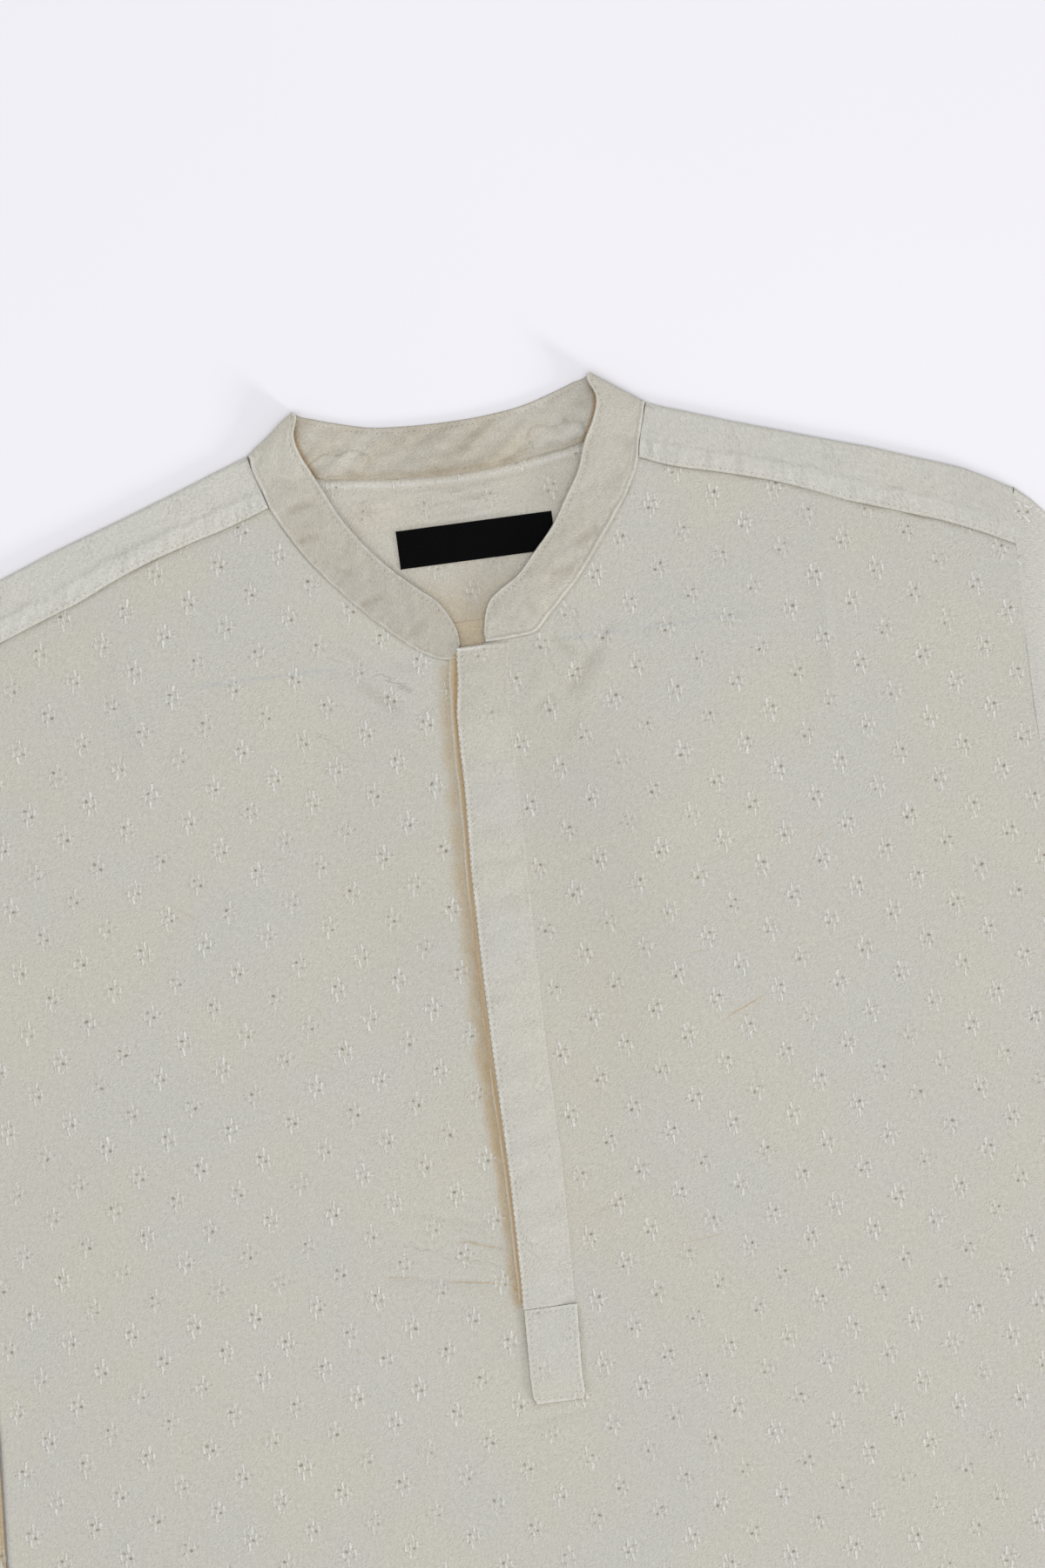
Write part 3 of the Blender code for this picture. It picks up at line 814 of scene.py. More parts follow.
def normals_of(points):
    """Unit normals of a grid of points, on the side that its faces turn out."""
    down = np.gradient(points, axis=0)
    right = np.gradient(points, axis=1)
    normal = np.cross(down, right)
    # v runs against the world's Y axis, so the plan's own cross product is turned round
    normal = -normal
    size = np.linalg.norm(normal, axis=2, keepdims=True)
    return normal / np.maximum(size, TINY)


def two_faced(piece, outer, inner, cloth, rounding=0.0,
              edges=("top", "bottom", "left", "right"), **fields):
    """Outer and inner faces of a piece of cloth with its edges closed between them."""
    inner_fields = fields.pop("inner_fields", fields)
    numbers = piece.grid(outer, cloth, **fields)
    under = piece.grid(inner, cloth, **inner_fields)
    piece.fill(numbers)
    piece.fill(under[:, ::-1])
    takes = {
        "top": (lambda a: a[0], lambda a: a[1]),
        "bottom": (lambda a: a[-1][::-1], lambda a: a[-2][::-1]),
        "left": (lambda a: a[::-1, 0], lambda a: a[::-1, 1]),
        "right": (lambda a: a[:, -1], lambda a: a[:, -2]),
    }
    for edge in edges:
        take, near = takes[edge]
        middle = (take(outer) + take(inner)) / 2
        away = take(outer) - near(outer)
        away /= np.maximum(np.linalg.norm(away, axis=1, keepdims=True), TINY)
        middle = middle + away * rounding
        edge_fields = {key: take(np.broadcast_to(value, outer.shape[:2]))[None]
                       for key, value in fields.items()}
        edge_cloth = take(np.broadcast_to(cloth, outer.shape[:2] + (2,)))[None]
        between = piece.grid(middle[None], edge_cloth, **edge_fields)[0]
        piece.fill(np.stack([take(numbers), between, take(under)]).T)


def outward(base, edge):
    """Direction in the plan from the band's edge to its base and on."""
    return unit(np.subtract(base, edge))


def seam_point(row):
    """Point on the body's side of the neck seam beside one collar row."""
    base = np.array(row[:2])
    return base + NECK_GAP * outward(base, row[2:4])


def linear(colour):
    """A colour on the usual 0 to 255 scale as linear light."""
    value = np.array(colour) / 255.0
    light = np.where(value <= 0.04045, value / 12.92, ((value + 0.055) / 1.055) ** 2.4)
    return tuple(float(x) for x in light) + (1.0,)


class Nodes:
    """Short ways to add and join the nodes of one material."""

    def __init__(self, tree):
        self.tree = tree

    def new(self, kind, **settings):
        """A new node with its settings."""
        node = self.tree.nodes.new(kind)
        for name, value in settings.items():
            setattr(node, name, value)
        return node

    def put(self, value, socket):
        """Sets a socket to a plain value, or links it to the socket that gives the value."""
        if isinstance(value, bpy.types.NodeSocket):
            self.tree.links.new(value, socket)
        else:
            socket.default_value = value

    def math(self, operation, a, b=0.0, c=0.0):
        node = self.new("ShaderNodeMath", operation=operation)
        for value, socket in zip((a, b, c), node.inputs):
            self.put(value, socket)
        return node.outputs[0]

    def chain(self, operation, values):
        """One operation run through several values, from the first on."""
        result = values[0]
        for value in values[1:]:
            result = self.math(operation, result, value)
        return result

    def product(self, *values):
        return self.chain("MULTIPLY", values)

    def total(self, *values):
        return self.chain("ADD", values)

    def minus(self, value, less):
        return self.math("SUBTRACT", value, less)

    def size(self, value):
        """The value without its sign."""
        return self.math("ABSOLUTE", value)

    def straight(self, value, slope, start):
        """A straight function of a value."""
        return self.math("MULTIPLY_ADD", value, slope, start)

    def between(self, value, low, high, at_low=0.0, at_high=1.0):
        """Smooth change from one value to another between two readings."""
        node = self.new("ShaderNodeMapRange", interpolation_type="SMOOTHSTEP")
        self.put(value, node.inputs["Value"])
        for name, reading in (("From Min", low), ("From Max", high),
                              ("To Min", at_low), ("To Max", at_high)):
            self.put(reading, node.inputs[name])
        return node.outputs["Result"]

    def box(self, value, middle, half, soft):
        """1 inside a half width of the middle, falling to 0 over the soft width."""
        off = self.size(self.minus(value, middle))
        return self.between(off, max(half - soft, 0.0), half + soft, 1.0, 0.0)

    def mix(self, share, first, second, kind="RGBA"):
        """First value at a share of 0, second at 1."""
        node = self.new("ShaderNodeMix", data_type=kind)
        for name, value in (("Factor", share), ("A", first), ("B", second)):
            self.put(value, node.inputs[name])
        return node.outputs["Result"]

    def tint(self, tone, share, colour):
        """The tone with a share of a colour mixed in."""
        return self.mix(share, tone, linear(colour))

    def vector(self, x, y, z=0.0):
        node = self.new("ShaderNodeCombineXYZ")
        for value, socket in zip((x, y, z), node.inputs):
            self.put(value, socket)
        return node.outputs[0]

    def noise(self, x, y, scale_x, scale_y, detail, roughness, z):
        """Soft random pattern over x and y, each with its own scale."""
        node = self.new("ShaderNodeTexNoise")
        place = self.vector(self.product(x, scale_x), self.product(y, scale_y), z)
        for name, value in (("Vector", place), ("Scale", 1.0), ("Detail", detail),
                            ("Roughness", roughness)):
            self.put(value, node.inputs[name])
        return node.outputs["Fac"]

    def field(self, name):
        """One of the piece's named fields."""
        return self.new("ShaderNodeAttribute", attribute_name=name).outputs["Fac"]

    def scaled(self, colour, factor):
        node = self.new("ShaderNodeVectorMath", operation="SCALE")
        self.put(colour, node.inputs[0])
        self.put(factor, node.inputs["Scale"])
        return node.outputs[0]


def nearest_motif(n, u, v):
    """Place on the motif nearest to a spot of the cloth, and the middle of that motif."""
    weft = n.straight(u, WEFT_SLOPE, v)
    found = []
    for starts in (MOTIF_FIRST, MOTIF_SECOND):
        offs = []
        middles = []
        for value, start in zip((u, weft), starts):
            count = n.math("DIVIDE", n.minus(value, start), MOTIF_PITCH)
            cell = n.math("FLOOR", n.total(count, 0.5))
            offs.append(n.product(n.minus(count, cell), MOTIF_PITCH))
            middles.append(n.straight(cell, MOTIF_PITCH, start))
        away = n.total(n.size(offs[0]), n.size(offs[1]))
        found.append((away, *offs, *middles))
    first, second = found
    nearer = n.math("LESS_THAN", second[0], first[0])
    return [n.mix(nearer, one, two, "FLOAT") for one, two in zip(first[1:], second[1:])]


def motif(n, u, v):
    """Depth of the pin-holes and height of the floats of the motif nearest to a place."""
    p, q, centre_u, centre_v = nearest_motif(n, u, v)
    chance = n.new("ShaderNodeTexWhiteNoise", noise_dimensions="2D")
    n.put(n.vector(centre_u, centre_v), chance.inputs["Vector"])
    parts = n.new("ShaderNodeSeparateColor")
    n.put(chance.outputs["Color"], parts.inputs[0])
    chance_u, chance_v, own_chance = parts.outputs
    moved = []
    for place, jitter, wave in ((p, chance_u, BEND_U), (q, chance_v, BEND_V)):
        bend = n.product(n.minus(n.noise(u, v, *wave), 0.5), MOTIF_BEND)
        moved.append(n.total(place, n.straight(n.minus(jitter, 0.5), MOTIF_JITTER, bend)))
    p, q = moved
    p = n.product(p, n.math("SIGN", n.total(centre_u, MIRROR_LINE)))
    holes = []
    for k, (hole_u, hole_v, radius, depth) in enumerate(HOLES):
        off_u = n.minus(p, hole_u)
        off_v = n.minus(q, hole_v)
        off = n.math("SQRT", n.total(n.product(off_u, off_u), n.product(off_v, off_v)))
        inside = n.between(off, radius * HOLE_FLOOR, radius * HOLE_RIM, depth, 0.0)
        turn = n.math("FRACT", n.straight(own_chance, HOLE_TURNS, k * HOLE_STEP))
        holes.append(n.product(inside, n.between(turn, 0.0, 0.8, 0.30, 1.0)))
    floats = []
    for float_u, float_v, half_width, half_length, height in FLOATS:
        floats.append(n.product(n.box(p, float_u, half_width, FLOAT_SIDE_SOFT),
                                n.box(q, float_v, half_length, FLOAT_END_SOFT), height))
    broken = n.between(n.noise(u, v, *BREAKS), 0.28, 0.55, 0.45, 1.0)
    raised = n.between(own_chance, 0.1, 0.8, 0.62, 1.0)
    return n.chain("MAXIMUM", holes), n.product(n.chain("MAXIMUM", floats), broken, raised)


def new_material(name):
    """A material, the short ways to its nodes and its shader's sockets."""
    material = bpy.data.materials.new(name)
    material.use_nodes = True
    shader = material.node_tree.nodes["Principled BSDF"]
    return material, Nodes(material.node_tree), shader.inputs


def cloth_place(n):
    """Cloth coordinates in millimetres."""
    split = n.new("ShaderNodeSeparateXYZ")
    n.put(n.new("ShaderNodeUVMap", uv_map="cloth").outputs[0], split.inputs[0])
    return [n.product(split.outputs[k], MM_A_METRE) for k in (0, 1)]


def add_relief(n, height, strength, sockets):
    """Turns a height in millimetres into relief of the surface."""
    bump = n.new("ShaderNodeBump")
    bump.inputs["Strength"].default_value = strength
    bump.inputs["Distance"].default_value = MM
    n.put(height, bump.inputs["Height"])
    n.put(bump.outputs[0], sockets["Normal"])


def add_motif(n, u, v, height, tone):
    """Height and tone of the cloth with the jacquard motif woven in."""
    strength = n.field("motif")
    holes, floats = (n.product(part, strength) for part in motif(n, u, v))
    rim = n.product(n.between(floats, 0.03, 0.22), n.between(floats, 0.26, 0.5, 1.0, 0.0))
    height = n.minus(n.total(height, n.product(floats, FLOAT_HEIGHT)), n.product(holes, HOLE_DEPTH))
    tone = n.tint(tone, n.product(rim, RIM_SHADE), SEAM_SHADE)
    tone = n.tint(tone, n.product(floats, FLOAT_PALE), PALE_AND_HIGHLIGHT)
    return height, n.tint(tone, n.product(holes, HOLE_SHADE), SEAM_SHADE)


def add_crease(n, height, tone):
    """Height and tone of the cloth with the finest part of its creases."""
    off = n.field("crease")
    beside = n.straight(off, 1 / CREASE_SIDE, -CREASE_SHIFT / CREASE_SIDE)
    ridge, trough = (n.between(n.size(place), 0.0, 1.8, 1.0, 0.0) for place in (off, beside))
    profile = n.straight(trough, -CREASE_FALL, ridge)
    creased = n.product(profile, n.field("crease_height"), CREASE_IN_WEAVE)
    tone = n.tint(tone, n.between(creased, 0.0, -0.5, 0.0, CREASE_SHADE), SEAM_SHADE)
    return n.total(height, creased), tone


def add_stitches(n, height, tone):
    """Height and tone of the cloth with its topstitching."""
    line = n.box(n.field("stitch"), *STITCH_LINE)
    beat = n.math("FRACT", n.math("DIVIDE", n.field("run"), STITCH_PITCH))
    dash = n.box(beat, *STITCH_DASH)
    thread = n.product(line, dash)
    gap = n.product(line, n.minus(1.0, dash))
    height = n.minus(n.total(height, n.product(thread, STITCH_HEIGHT)), n.product(gap, STITCH_DIP))
    tone = n.tint(tone, n.product(thread, STITCH_PALE), PALE_AND_HIGHLIGHT)
    # painted warm shade in the dents between the stitches
    return height, n.tint(tone, n.product(gap, STITCH_TAN), WARM_SHADE)


def cloth_material(name, colour, figured):
    """Slubby weave with soft colour changes, and the jacquard motif if it is figured."""
    material, n, sockets = new_material(name)
    u, v = cloth_place(n)
    grain = n.noise(u, v, *GRAIN)
    cloud = n.noise(u, v, *CLOUD)
    twill = n.noise(n.total(u, v), n.minus(u, v), *TWILL)
    threads = n.total(n.noise(u, v, *WARP), n.noise(u, v, *WEFT),
                      n.product(grain, GRAIN_SHARE), n.product(twill, TWILL_SHARE))
    threads = n.minus(threads, THREADS_MIDDLE)
    height = n.product(threads, THREADS_HEIGHT)
    brightness = n.product(n.straight(threads, THREADS_CONTRAST, 1.0),
                           n.straight(n.minus(cloud, 0.5), CLOUD_CONTRAST, 1.0))
    warmer = tuple(c + d for c, d in zip(colour, WARMER_BY))
    tone = n.mix(n.between(cloud, 0.35, 0.65), linear(colour), linear(warmer))
    # painted warm shade, painted highlight and painted brown gap shade, from the pieces' fields
    for field, tint in (("tan", WARM_SHADE), ("pale", PALE_AND_HIGHLIGHT), ("rust", LINE_AND_SHADE_BROWN)):
        tone = n.tint(tone, n.field(field), tint)
    streak = n.between(n.size(n.field("streak")), 0.2, 1.5, 1.0, 0.0)
    flecks = n.between(grain, 0.35, 0.60, 0.45, 1.0)
    tone = n.tint(tone, n.product(streak, flecks, n.field("streak_share")), LINE_AND_SHADE_BROWN)
    tone = n.tint(tone, n.field("chalk"), BLUE_GREY)
    if figured:
        height, tone = add_motif(n, u, v, height, tone)
    height, tone = add_crease(n, height, tone)
    height, tone = add_stitches(n, height, tone)
    tone = n.tint(tone, n.field("dark"), SEAM_SHADE)
    n.put(n.scaled(tone, brightness), sockets["Base Color"])
    n.put(n.straight(threads, -0.12, 0.84), sockets["Roughness"])
    sockets["Sheen Weight"].default_value = 0.08
    sockets["Sheen Roughness"].default_value = 0.5
    sockets["Specular IOR Level"].default_value = 0.25
    add_relief(n, height, 1.0, sockets)
    return material


def label_material():
    """Matte black woven tape."""
    material, n, sockets = new_material("label_black")
    u, v = cloth_place(n)
    rib = n.math("SINE", n.product(n.total(u, v), 2.0 * math.pi / RIB_PITCH))
    grain = n.noise(u, v, *LABEL_GRAIN)
    tone = n.mix(n.between(grain, 0.35, 0.7), linear(LABEL_BLACK), linear(LABEL_RIB))
    n.put(tone, sockets["Base Color"])
    n.put(n.straight(grain, 0.2, 0.75), sockets["Roughness"])
    sockets["Specular IOR Level"].default_value = 0.06
    height = n.total(n.product(rib, RIB_HEIGHT), n.product(grain, LABEL_GRAIN_HEIGHT))
    add_relief(n, height, 0.8, sockets)
    return material


def make_back(material):
    """Flat lower panel from the yoke seam to the hem."""
    piece = Piece()
    fine_end = 126.0
    calm_reach = 12.0
    deepest_dent = 0.7
    v = np.concatenate([np.linspace(YOKE_SEAM + SEAM_CLEAR, fine_end, 26),
                        np.linspace(fine_end, HEM, 130)[1:]])
    share = np.linspace(1.0, -1.0, 141)
    u = body_half_width(v)[:, None] * share
    v = np.broadcast_to(v[:, None], u.shape)
    calm = rise(body_half_width(v) - np.abs(u), calm_reach) * rise(HEM - v, calm_reach)
    dent = 0.22 * (1.0 + ripple(u, v, 60.0, 11)) + 0.10 * (1.0 + ripple(u, v, 17.0, 12))
    outer = np.dstack([u, v, np.clip(calm * dent, 0.0, deepest_dent)])
    inner = outer + (0.0, 0.0, WALL)
    cloth = np.dstack([-u, v])
    # the inner face, seen deep in the neck opening, gets painted warm shade and a little painted
    # light
    two_faced(piece, outer, inner, cloth, 0.2, motif=1.0, stitch=HEM - v - HEM_WIDTH, run=u,
              inner_fields={"motif": 0.3, "stitch": FAR_OFF, "run": u, "tan": 0.70, "pale": 0.12})
    return piece.build("back_panel", material)


def shoulder_lines(side, collar_rows, count):
    """Outline, outward step and forward seam of the yoke, from the collar to the armhole."""
    outline = [seam_point(collar_rows[0])] + [np.array([side * u, v]) for u, v in SHOULDER[1:]]
    seam = [seam_point(collar_rows[SEAM_ROW])]
    seam += [np.array([side * u, v]) for u, v in FORWARD_SEAM[1:]]
    knots = lengths(outline)
    at = np.linspace(0.0, knots[-1], count)
    outline = smooth_curve(outline, knots, at)
    seam = smooth_curve(seam, knots, at)
    run = np.gradient(outline, axis=0)
    run *= side / np.linalg.norm(run, axis=1, keepdims=True)
    step = np.column_stack([run[:, 1], -run[:, 0]])
    return outline, step, seam, at


def make_yoke(material):
    """Back neck and shoulders: flat below, folded forward over both shoulders."""
    piece = Piece()
    shoulder_rows = 116
    neck_rows = 130
    neck_reach = 16.0
    most_short = 1.2
    fine_from = 0.8
    lower = np.linspace(0.0, 1.0, 46)
    angles = np.radians(np.linspace(-90.0, 90.0, 15))[1:-1]
    upper = np.concatenate([np.linspace(0.0, fine_from, 20), np.linspace(fine_from, 1.0, 17)[1:]])
    necks = {}
    for side, rows in ((-1, COLLAR_LEFT), (1, COLLAR_RIGHT)):
        outline, step, seam, at = shoulder_lines(side, rows, shoulder_rows)
        centre = outline - step * FOLD_RADIUS
        foot = side * np.minimum(np.abs(outline[:, 0]), float(body_half_width(YOKE_SEAM)))
        foot = np.column_stack([foot, np.full(len(foot), YOKE_SEAM - SEAM_CLEAR)])
        low = foot[:, None] + (centre - foot)[:, None] * lower[:, None]
        arc = centre[:, None] + step[:, None] * FOLD_RADIUS * np.cos(angles)[:, None]
        top = centre[:, None] + (seam - centre)[:, None] * upper[:, None]
        neck_line = smooth_curve([seam_point(row) for row in rows[:SEAM_ROW + 1]],
                                 np.arange(SEAM_ROW + 1.0), upper * SEAM_ROW)
        bend = fade(at, neck_reach)
        own = upper[:, None] > 0.0
        top = top + np.where(own, neck_line - top[0], 0.0) * bend[:, None, None]
        low_z = np.zeros(low.shape[:2])
        arc_z = np.broadcast_to(FOLD_RADIUS * (1.0 + np.sin(angles)), arc.shape[:2])
        top_z = top_height(top[..., 0], top[..., 1])
        plan = np.concatenate([low, arc, top], axis=1)
        # the fold's end row follows the armhole
        short = along(ARMHOLE, plan[-1, :, 1]) - np.abs(plan[-1, :, 0])
        short = np.clip(short, 0.0, most_short)
        near_end = rise(at - at[-1] + YOKE_END, YOKE_END)
        plan[..., 0] += side * short * near_end[:, None]
        z = np.concatenate([low_z, arc_z, top_z], axis=1)
        outer = np.dstack([plan, z])
        cloth, fields, relief, under = yoke_details(outer, at, len(lower), side)
        if side > 0:
            outer, cloth, relief, under = (a[::-1] for a in (outer, cloth, relief, under))
            fields = {name: np.asarray(value)[::-1] for name, value in fields.items()}
        facing = normals_of(outer)
        inner = outer - facing * (WALL + under)[..., None]
        outer = outer + facing * relief[..., None]
        edges = ("left", "right", "top") if side > 0 else ("left", "right", "bottom")
        two_faced(piece, outer, inner, cloth, 0.0, edges, **fields)
        necks[side] = (outer[-1] if side > 0 else outer[0])[:len(lower)]
    base = [seam_point(row) for row in COLLAR_BACK]
    line = np.vstack([necks[-1][-1, :2], base, necks[1][-1, :2]])
    knots = lengths(line)
    line = smooth_curve(line, knots, np.linspace(0.0, knots[-1], neck_rows))[::-1]
    widen = np.where(line[:, 0] < 0.0, necks[-1][0, 0] / necks[-1][-1, 0],
                     necks[1][0, 0] / necks[1][-1, 0])
    foot = np.column_stack([line[:, 0] * widen, np.full(len(line), YOKE_SEAM - SEAM_CLEAR)])
    plan = foot[:, None] + (line - foot)[:, None] * lower[:, None]
    outer = np.dstack([plan, np.zeros(plan.shape[:2])])
    cloth, fields, relief, under = yoke_details(outer, None, len(lower), 0)
    inner = outer + np.dstack([np.zeros(plan.shape), WALL + under])
    two_faced(piece, outer, inner, cloth, 0.0, ("left", "right"), **fields)
    made = piece.build("yoke_panel", material)
    merge(made, JOIN_REACH)
    return made


def yoke_details(outer, at, lower_count, side):
    """Cloth coordinates, fields, relief outside and relief inside of one grid of the yoke."""
    u, v = outer[..., 0], outer[..., 1]
    steps = np.linalg.norm(np.diff(outer, axis=1), axis=2)
    path = np.concatenate([np.zeros((len(outer), 1)), np.cumsum(steps, axis=1)], axis=1)
    cloth = np.dstack([u, YOKE_SEAM - path])
    from_neck = distance(u, v, BACK_NECK_TREE)
    level = np.zeros(u.shape, bool)
    level[:, :lower_count] = True
    wrinkle = ripple(u * 0.22, v, 4.2, 24) * hill(v - 34.0, 18.0) * rise(v - 22.0, 5.0)
    low_wrinkle = ripple(u * 0.25, v, 5.0, 25) * hill(v - 80.0, 15.0)
    under = np.where(level, unevenness(u, v, YOKE_INSIDE), 0.0)
    under = under + np.where(level, 0.45 * hill(from_neck - 3.4, 1.8) + 0.46 * wrinkle, 0.0)
    under = under * rise(from_neck + 0.5, 3.0)
    under = under + np.where(level, 0.16 * low_wrinkle, 0.0)
    # painted warm shade inside the neck, deeper towards the bottom of the opening
    tan = 0.17 + 0.05 * ripple(u, v, 30.0, 23) + 0.48 * rise(v - 62.0, 26.0)
    tan = np.clip(np.where(level, tan + 0.06 * low_wrinkle, 0.0), 0.0, 1.0)
    # painted shade along the neck seam, beside the seam allowance's ridge and in the middle
    dark = 0.55 * fade(from_neck, 1.1) + 0.16 * hill(from_neck - 5.6, 1.3)
    dark = np.where(level, dark + 0.10 * hill(u, 42.0), 0.0)
    # painted highlight on the ridge below the neck seam; the rest is a little lighter all over
    pale = np.where(level, 0.20 + 0.36 * hill(from_neck - 3.2, 1.4), 0.19)
    relief = np.zeros(u.shape)
    stitch = np.full(u.shape, FAR_OFF)
    run = path
    if side:
        end = path[:, -1:]
        from_seam = np.where(level, FAR_OFF, end - path)
        run = np.broadcast_to(at[:, None], u.shape)
        pucker = ripple(run + 0.5 * from_seam, from_seam * 0.3, 5.0, 31)
        ridge = 8.5 + 0.8 * ripple(run, 0.0 * run, 17.0, 35)
        relief = 0.62 * fade(from_seam - ridge, 1.8)
        relief = relief + 0.44 * pucker * hill(from_seam - 5.0, 8.0)
        relief = relief * rise(from_seam, 0.8) * rise(at[-1] - run - 1.0, 12.0)
        on_top = fade(from_seam, 60.0)
        relief = relief + on_top * unevenness(u, v, YOKE_SHOULDER)
        broken = 0.65 + 0.35 * ripple(run, 0.0 * run, 21.0, 36)
        broken = broken * (0.4 + 0.6 * rise(at[-1] - run, 16.0))
        # painted shade along the forward seam and painted highlight on the ridge beside it
        dark = dark + np.where(level, 0.0, 0.50 * broken * fade(from_seam, 0.9))
        pale = pale + np.where(level, 0.0, 0.12 * fade(from_seam - 8.0, 2.0))
        stitch = np.where(level, FAR_OFF, from_seam - 1.0)
    fields = {"tan": tan, "dark": dark, "pale": pale, "stitch": stitch, "run": run,
              "motif": np.where(level, 0.75, 0.25)}
    return cloth, fields, relief, under


def back_neck_line():
    """Points along the back neck seam."""
    return smooth_line([seam_point(row) for row in COLLAR_BACK], 200)


BACK_NECK_TREE = tree_of(back_neck_line())


def front_plan(side, collar_rows):
    """Plan of one half of the front as a grid, distances from its ends, share beside the neck."""
    neck = np.array([seam_point(row) for row in collar_rows[SEAM_ROW:-1]])
    foot_v = neck[-1][1] + 0.2
    neck = np.vstack([neck, (slit_middle(foot_v) + side * SLIT_HALF_GAP, foot_v)])
    neck_rows = 62
    slit_rows = 160
    middle_v = 196.0
    low_start = 460.0
    shown_end = 545.0
    lines_across = 100
    lines_in_bend = 8
    inner_neck = smooth_line(neck, neck_rows)
    slit_v = np.linspace(foot_v, SLIT_END, slit_rows)[1:]
    slit = np.column_stack([slit_middle(slit_v) + side * SLIT_HALF_GAP, slit_v])
    low_v = np.concatenate([np.linspace(SLIT_END, shown_end, 56)[1:],
                            np.linspace(shown_end, HEM, 44)[1:]])
    low = np.column_stack([np.full(len(low_v), slit_middle(SLIT_END)), low_v])
    inner = np.vstack([inner_neck, slit, low])
    outer_v = np.concatenate([
        np.linspace(FORWARD_SEAM[-1][1] + SEAM_CLEAR, middle_v, neck_rows),
        np.linspace(middle_v, low_start, slit_rows)[1:],
        low_start + (HEM - low_start) * (low_v - SLIT_END) / (HEM - SLIT_END),
    ])
    outer = np.column_stack([side * body_half_width(outer_v), outer_v])
    near = np.array((0.0, 0.4, 0.8, 1.2, 1.7, 2.3, 3.0, 3.8, 4.8, 6.0, 7.5, 9.2))
    bend = SIDE_RADIUS * (1.0 - np.sin(np.radians(np.linspace(0.0, 90.0, lines_in_bend))))
    far = np.concatenate([(9.0, 7.4, 6.0, 4.8, 3.8, 3.0), bend])
    span = np.linalg.norm(outer - inner, axis=1)[:, None]
    share = np.linspace(0.0, 1.0, lines_across)[1:-1]
    from_inner = np.hstack([
        np.broadcast_to(near, (len(span), len(near))),
        near[-1] + (span - far[0] - near[-1]) * share,
        span - far,
    ])
    share = (from_inner / span)[..., None]
    plan = inner[:, None] + (outer - inner)[:, None] * share
    seam = np.array([seam_point(collar_rows[SEAM_ROW])]
                    + [np.array([side * u, v]) for u, v in FORWARD_SEAM[1:]])
    knots = lengths(seam)
    seam = smooth_curve(seam, knots, share[0, :, 0] * knots[-1]) + (0.0, SEAM_CLEAR)
    rows = np.arange(len(plan)) / (0.5 * neck_rows)
    plan = plan + (seam - plan[0]) * (1.0 - smooth_step(rows))[:, None, None]
    neck_fade = fade(np.arange(len(plan)) - neck_rows + 1.0, 4.0)
    return plan, from_inner, span - from_inner, neck_fade


def front_details(u, v, from_inner, from_outer, neck, side):
    """Height and fields of the front over its plan."""
    z = top_height(u, v)
    at_side = rise(v - UNDERARM + 8.0, 12.0)
    arc = SIDE_RADIUS - np.clip(from_outer, 0.0, SIDE_RADIUS)
    arc = SIDE_SEAM_HEIGHT + np.sqrt(SIDE_RADIUS ** 2 - arc ** 2)
    edge = np.minimum(from_inner, from_outer)
    calm = rise(edge, 25.0)
    relief = calm * unevenness(u, v, FRONT_FACE)
    creased = sum(crease(u, v, *row) for row in CREASES)
    z = z + relief + (1.0 - CREASE_IN_WEAVE) * creased
    z = z - (1.0 - at_side) * 0.05 * hill(from_outer, 1.3)
    z = np.where((at_side > 0.5) & (from_outer < SIDE_RADIUS), np.minimum(z, arc), z)
    z = z - neck[:, None] * 0.32 * hill(from_inner, 1.3)
    from_seam = v - forward_seam_v(u)
    z = z - 0.5 * hill(from_seam, 1.2)
    uneven = 0.7 + 0.3 * ripple(u, v, 17.0, 47)
    # painted shade along the neck seam, the forward seam, beside the placket, in soft patches and
    # in the creases' troughs
    dark = neck[:, None] * 0.08 * uneven * fade(from_inner, 1.1)
    broken = 0.65 + 0.35 * ripple(u, 0.0 * u, 21.0, 44)
    dark = np.maximum(dark, 0.45 * broken * fade(np.abs(from_seam), 0.9))
    dark = np.maximum(dark, placket_shade(u, v))
    for mark_u, mark_v, half_u, half_v, share in FRONT_SHADES:
        dark = dark + share * hill(u - mark_u, half_u) * hill(v - mark_v, half_v)
    dark = np.maximum(dark, 0.05 * np.clip(-creased / 0.8, 0.0, 1.0))
    # painted highlight along the fold of the body's side
    pale = at_side * 0.45 * fade(from_outer, 1.2)
    middle = np.hypot(u / 95.0, (v - 330.0) / 190.0)
    tan = 0.05 * (1.0 - smooth_step(middle)) * (1.0 + 0.5 * ripple(u, v, 60.0, 46))
    # painted warm shadow on the left front, cast by the placket's raised left edge
    if side < 0:
        beside = along(PLACKET, v) - u
        width = np.interp(v, (102.0, 120.0, 230.0, 300.0, 400.0), (9.5, 11.5, 10.5, 10.0, 6.0))
        width = width * (1.0 + 0.12 * ripple(0.0 * u, v, 16.0, 48))
        strip_tan = 1.0 - smooth_step((beside - 0.55 * width) / (0.5 * width))
        strip_tan = strip_tan * (0.56 + 0.18 * rise(v - 240.0, 60.0))
        spots = 0.14 * ripple(u, v, 14.0, 43)
        strip_tan = strip_tan * (0.86 + spots + 0.08 * ripple(u, v, 4.0, 49))
        strip_tan = strip_tan * rise(v - 102.0, 8.0) * fade(v - 400.0, 6.0)
        tan = tan + strip_tan
        strip_dark = 0.06 + 0.14 * rise(v - 190.0, 80.0) - 0.08 * rise(v - 320.0, 40.0)
        dark = dark + strip_dark * strip_tan
    fields = {"dark": dark, "tan": tan, "pale": pale, "motif": 1.0, "stitch": HEM - v - HEM_WIDTH,
              "run": u, "chalk": 0.35 * chalk(u, v)}
    fields["streak"], fields["streak_share"] = nearest_line(u, v, FAINT_BROWN_LINES)
    fields["crease"], fields["crease_height"] = nearest_line(u, v, CREASES)
    return z, fields


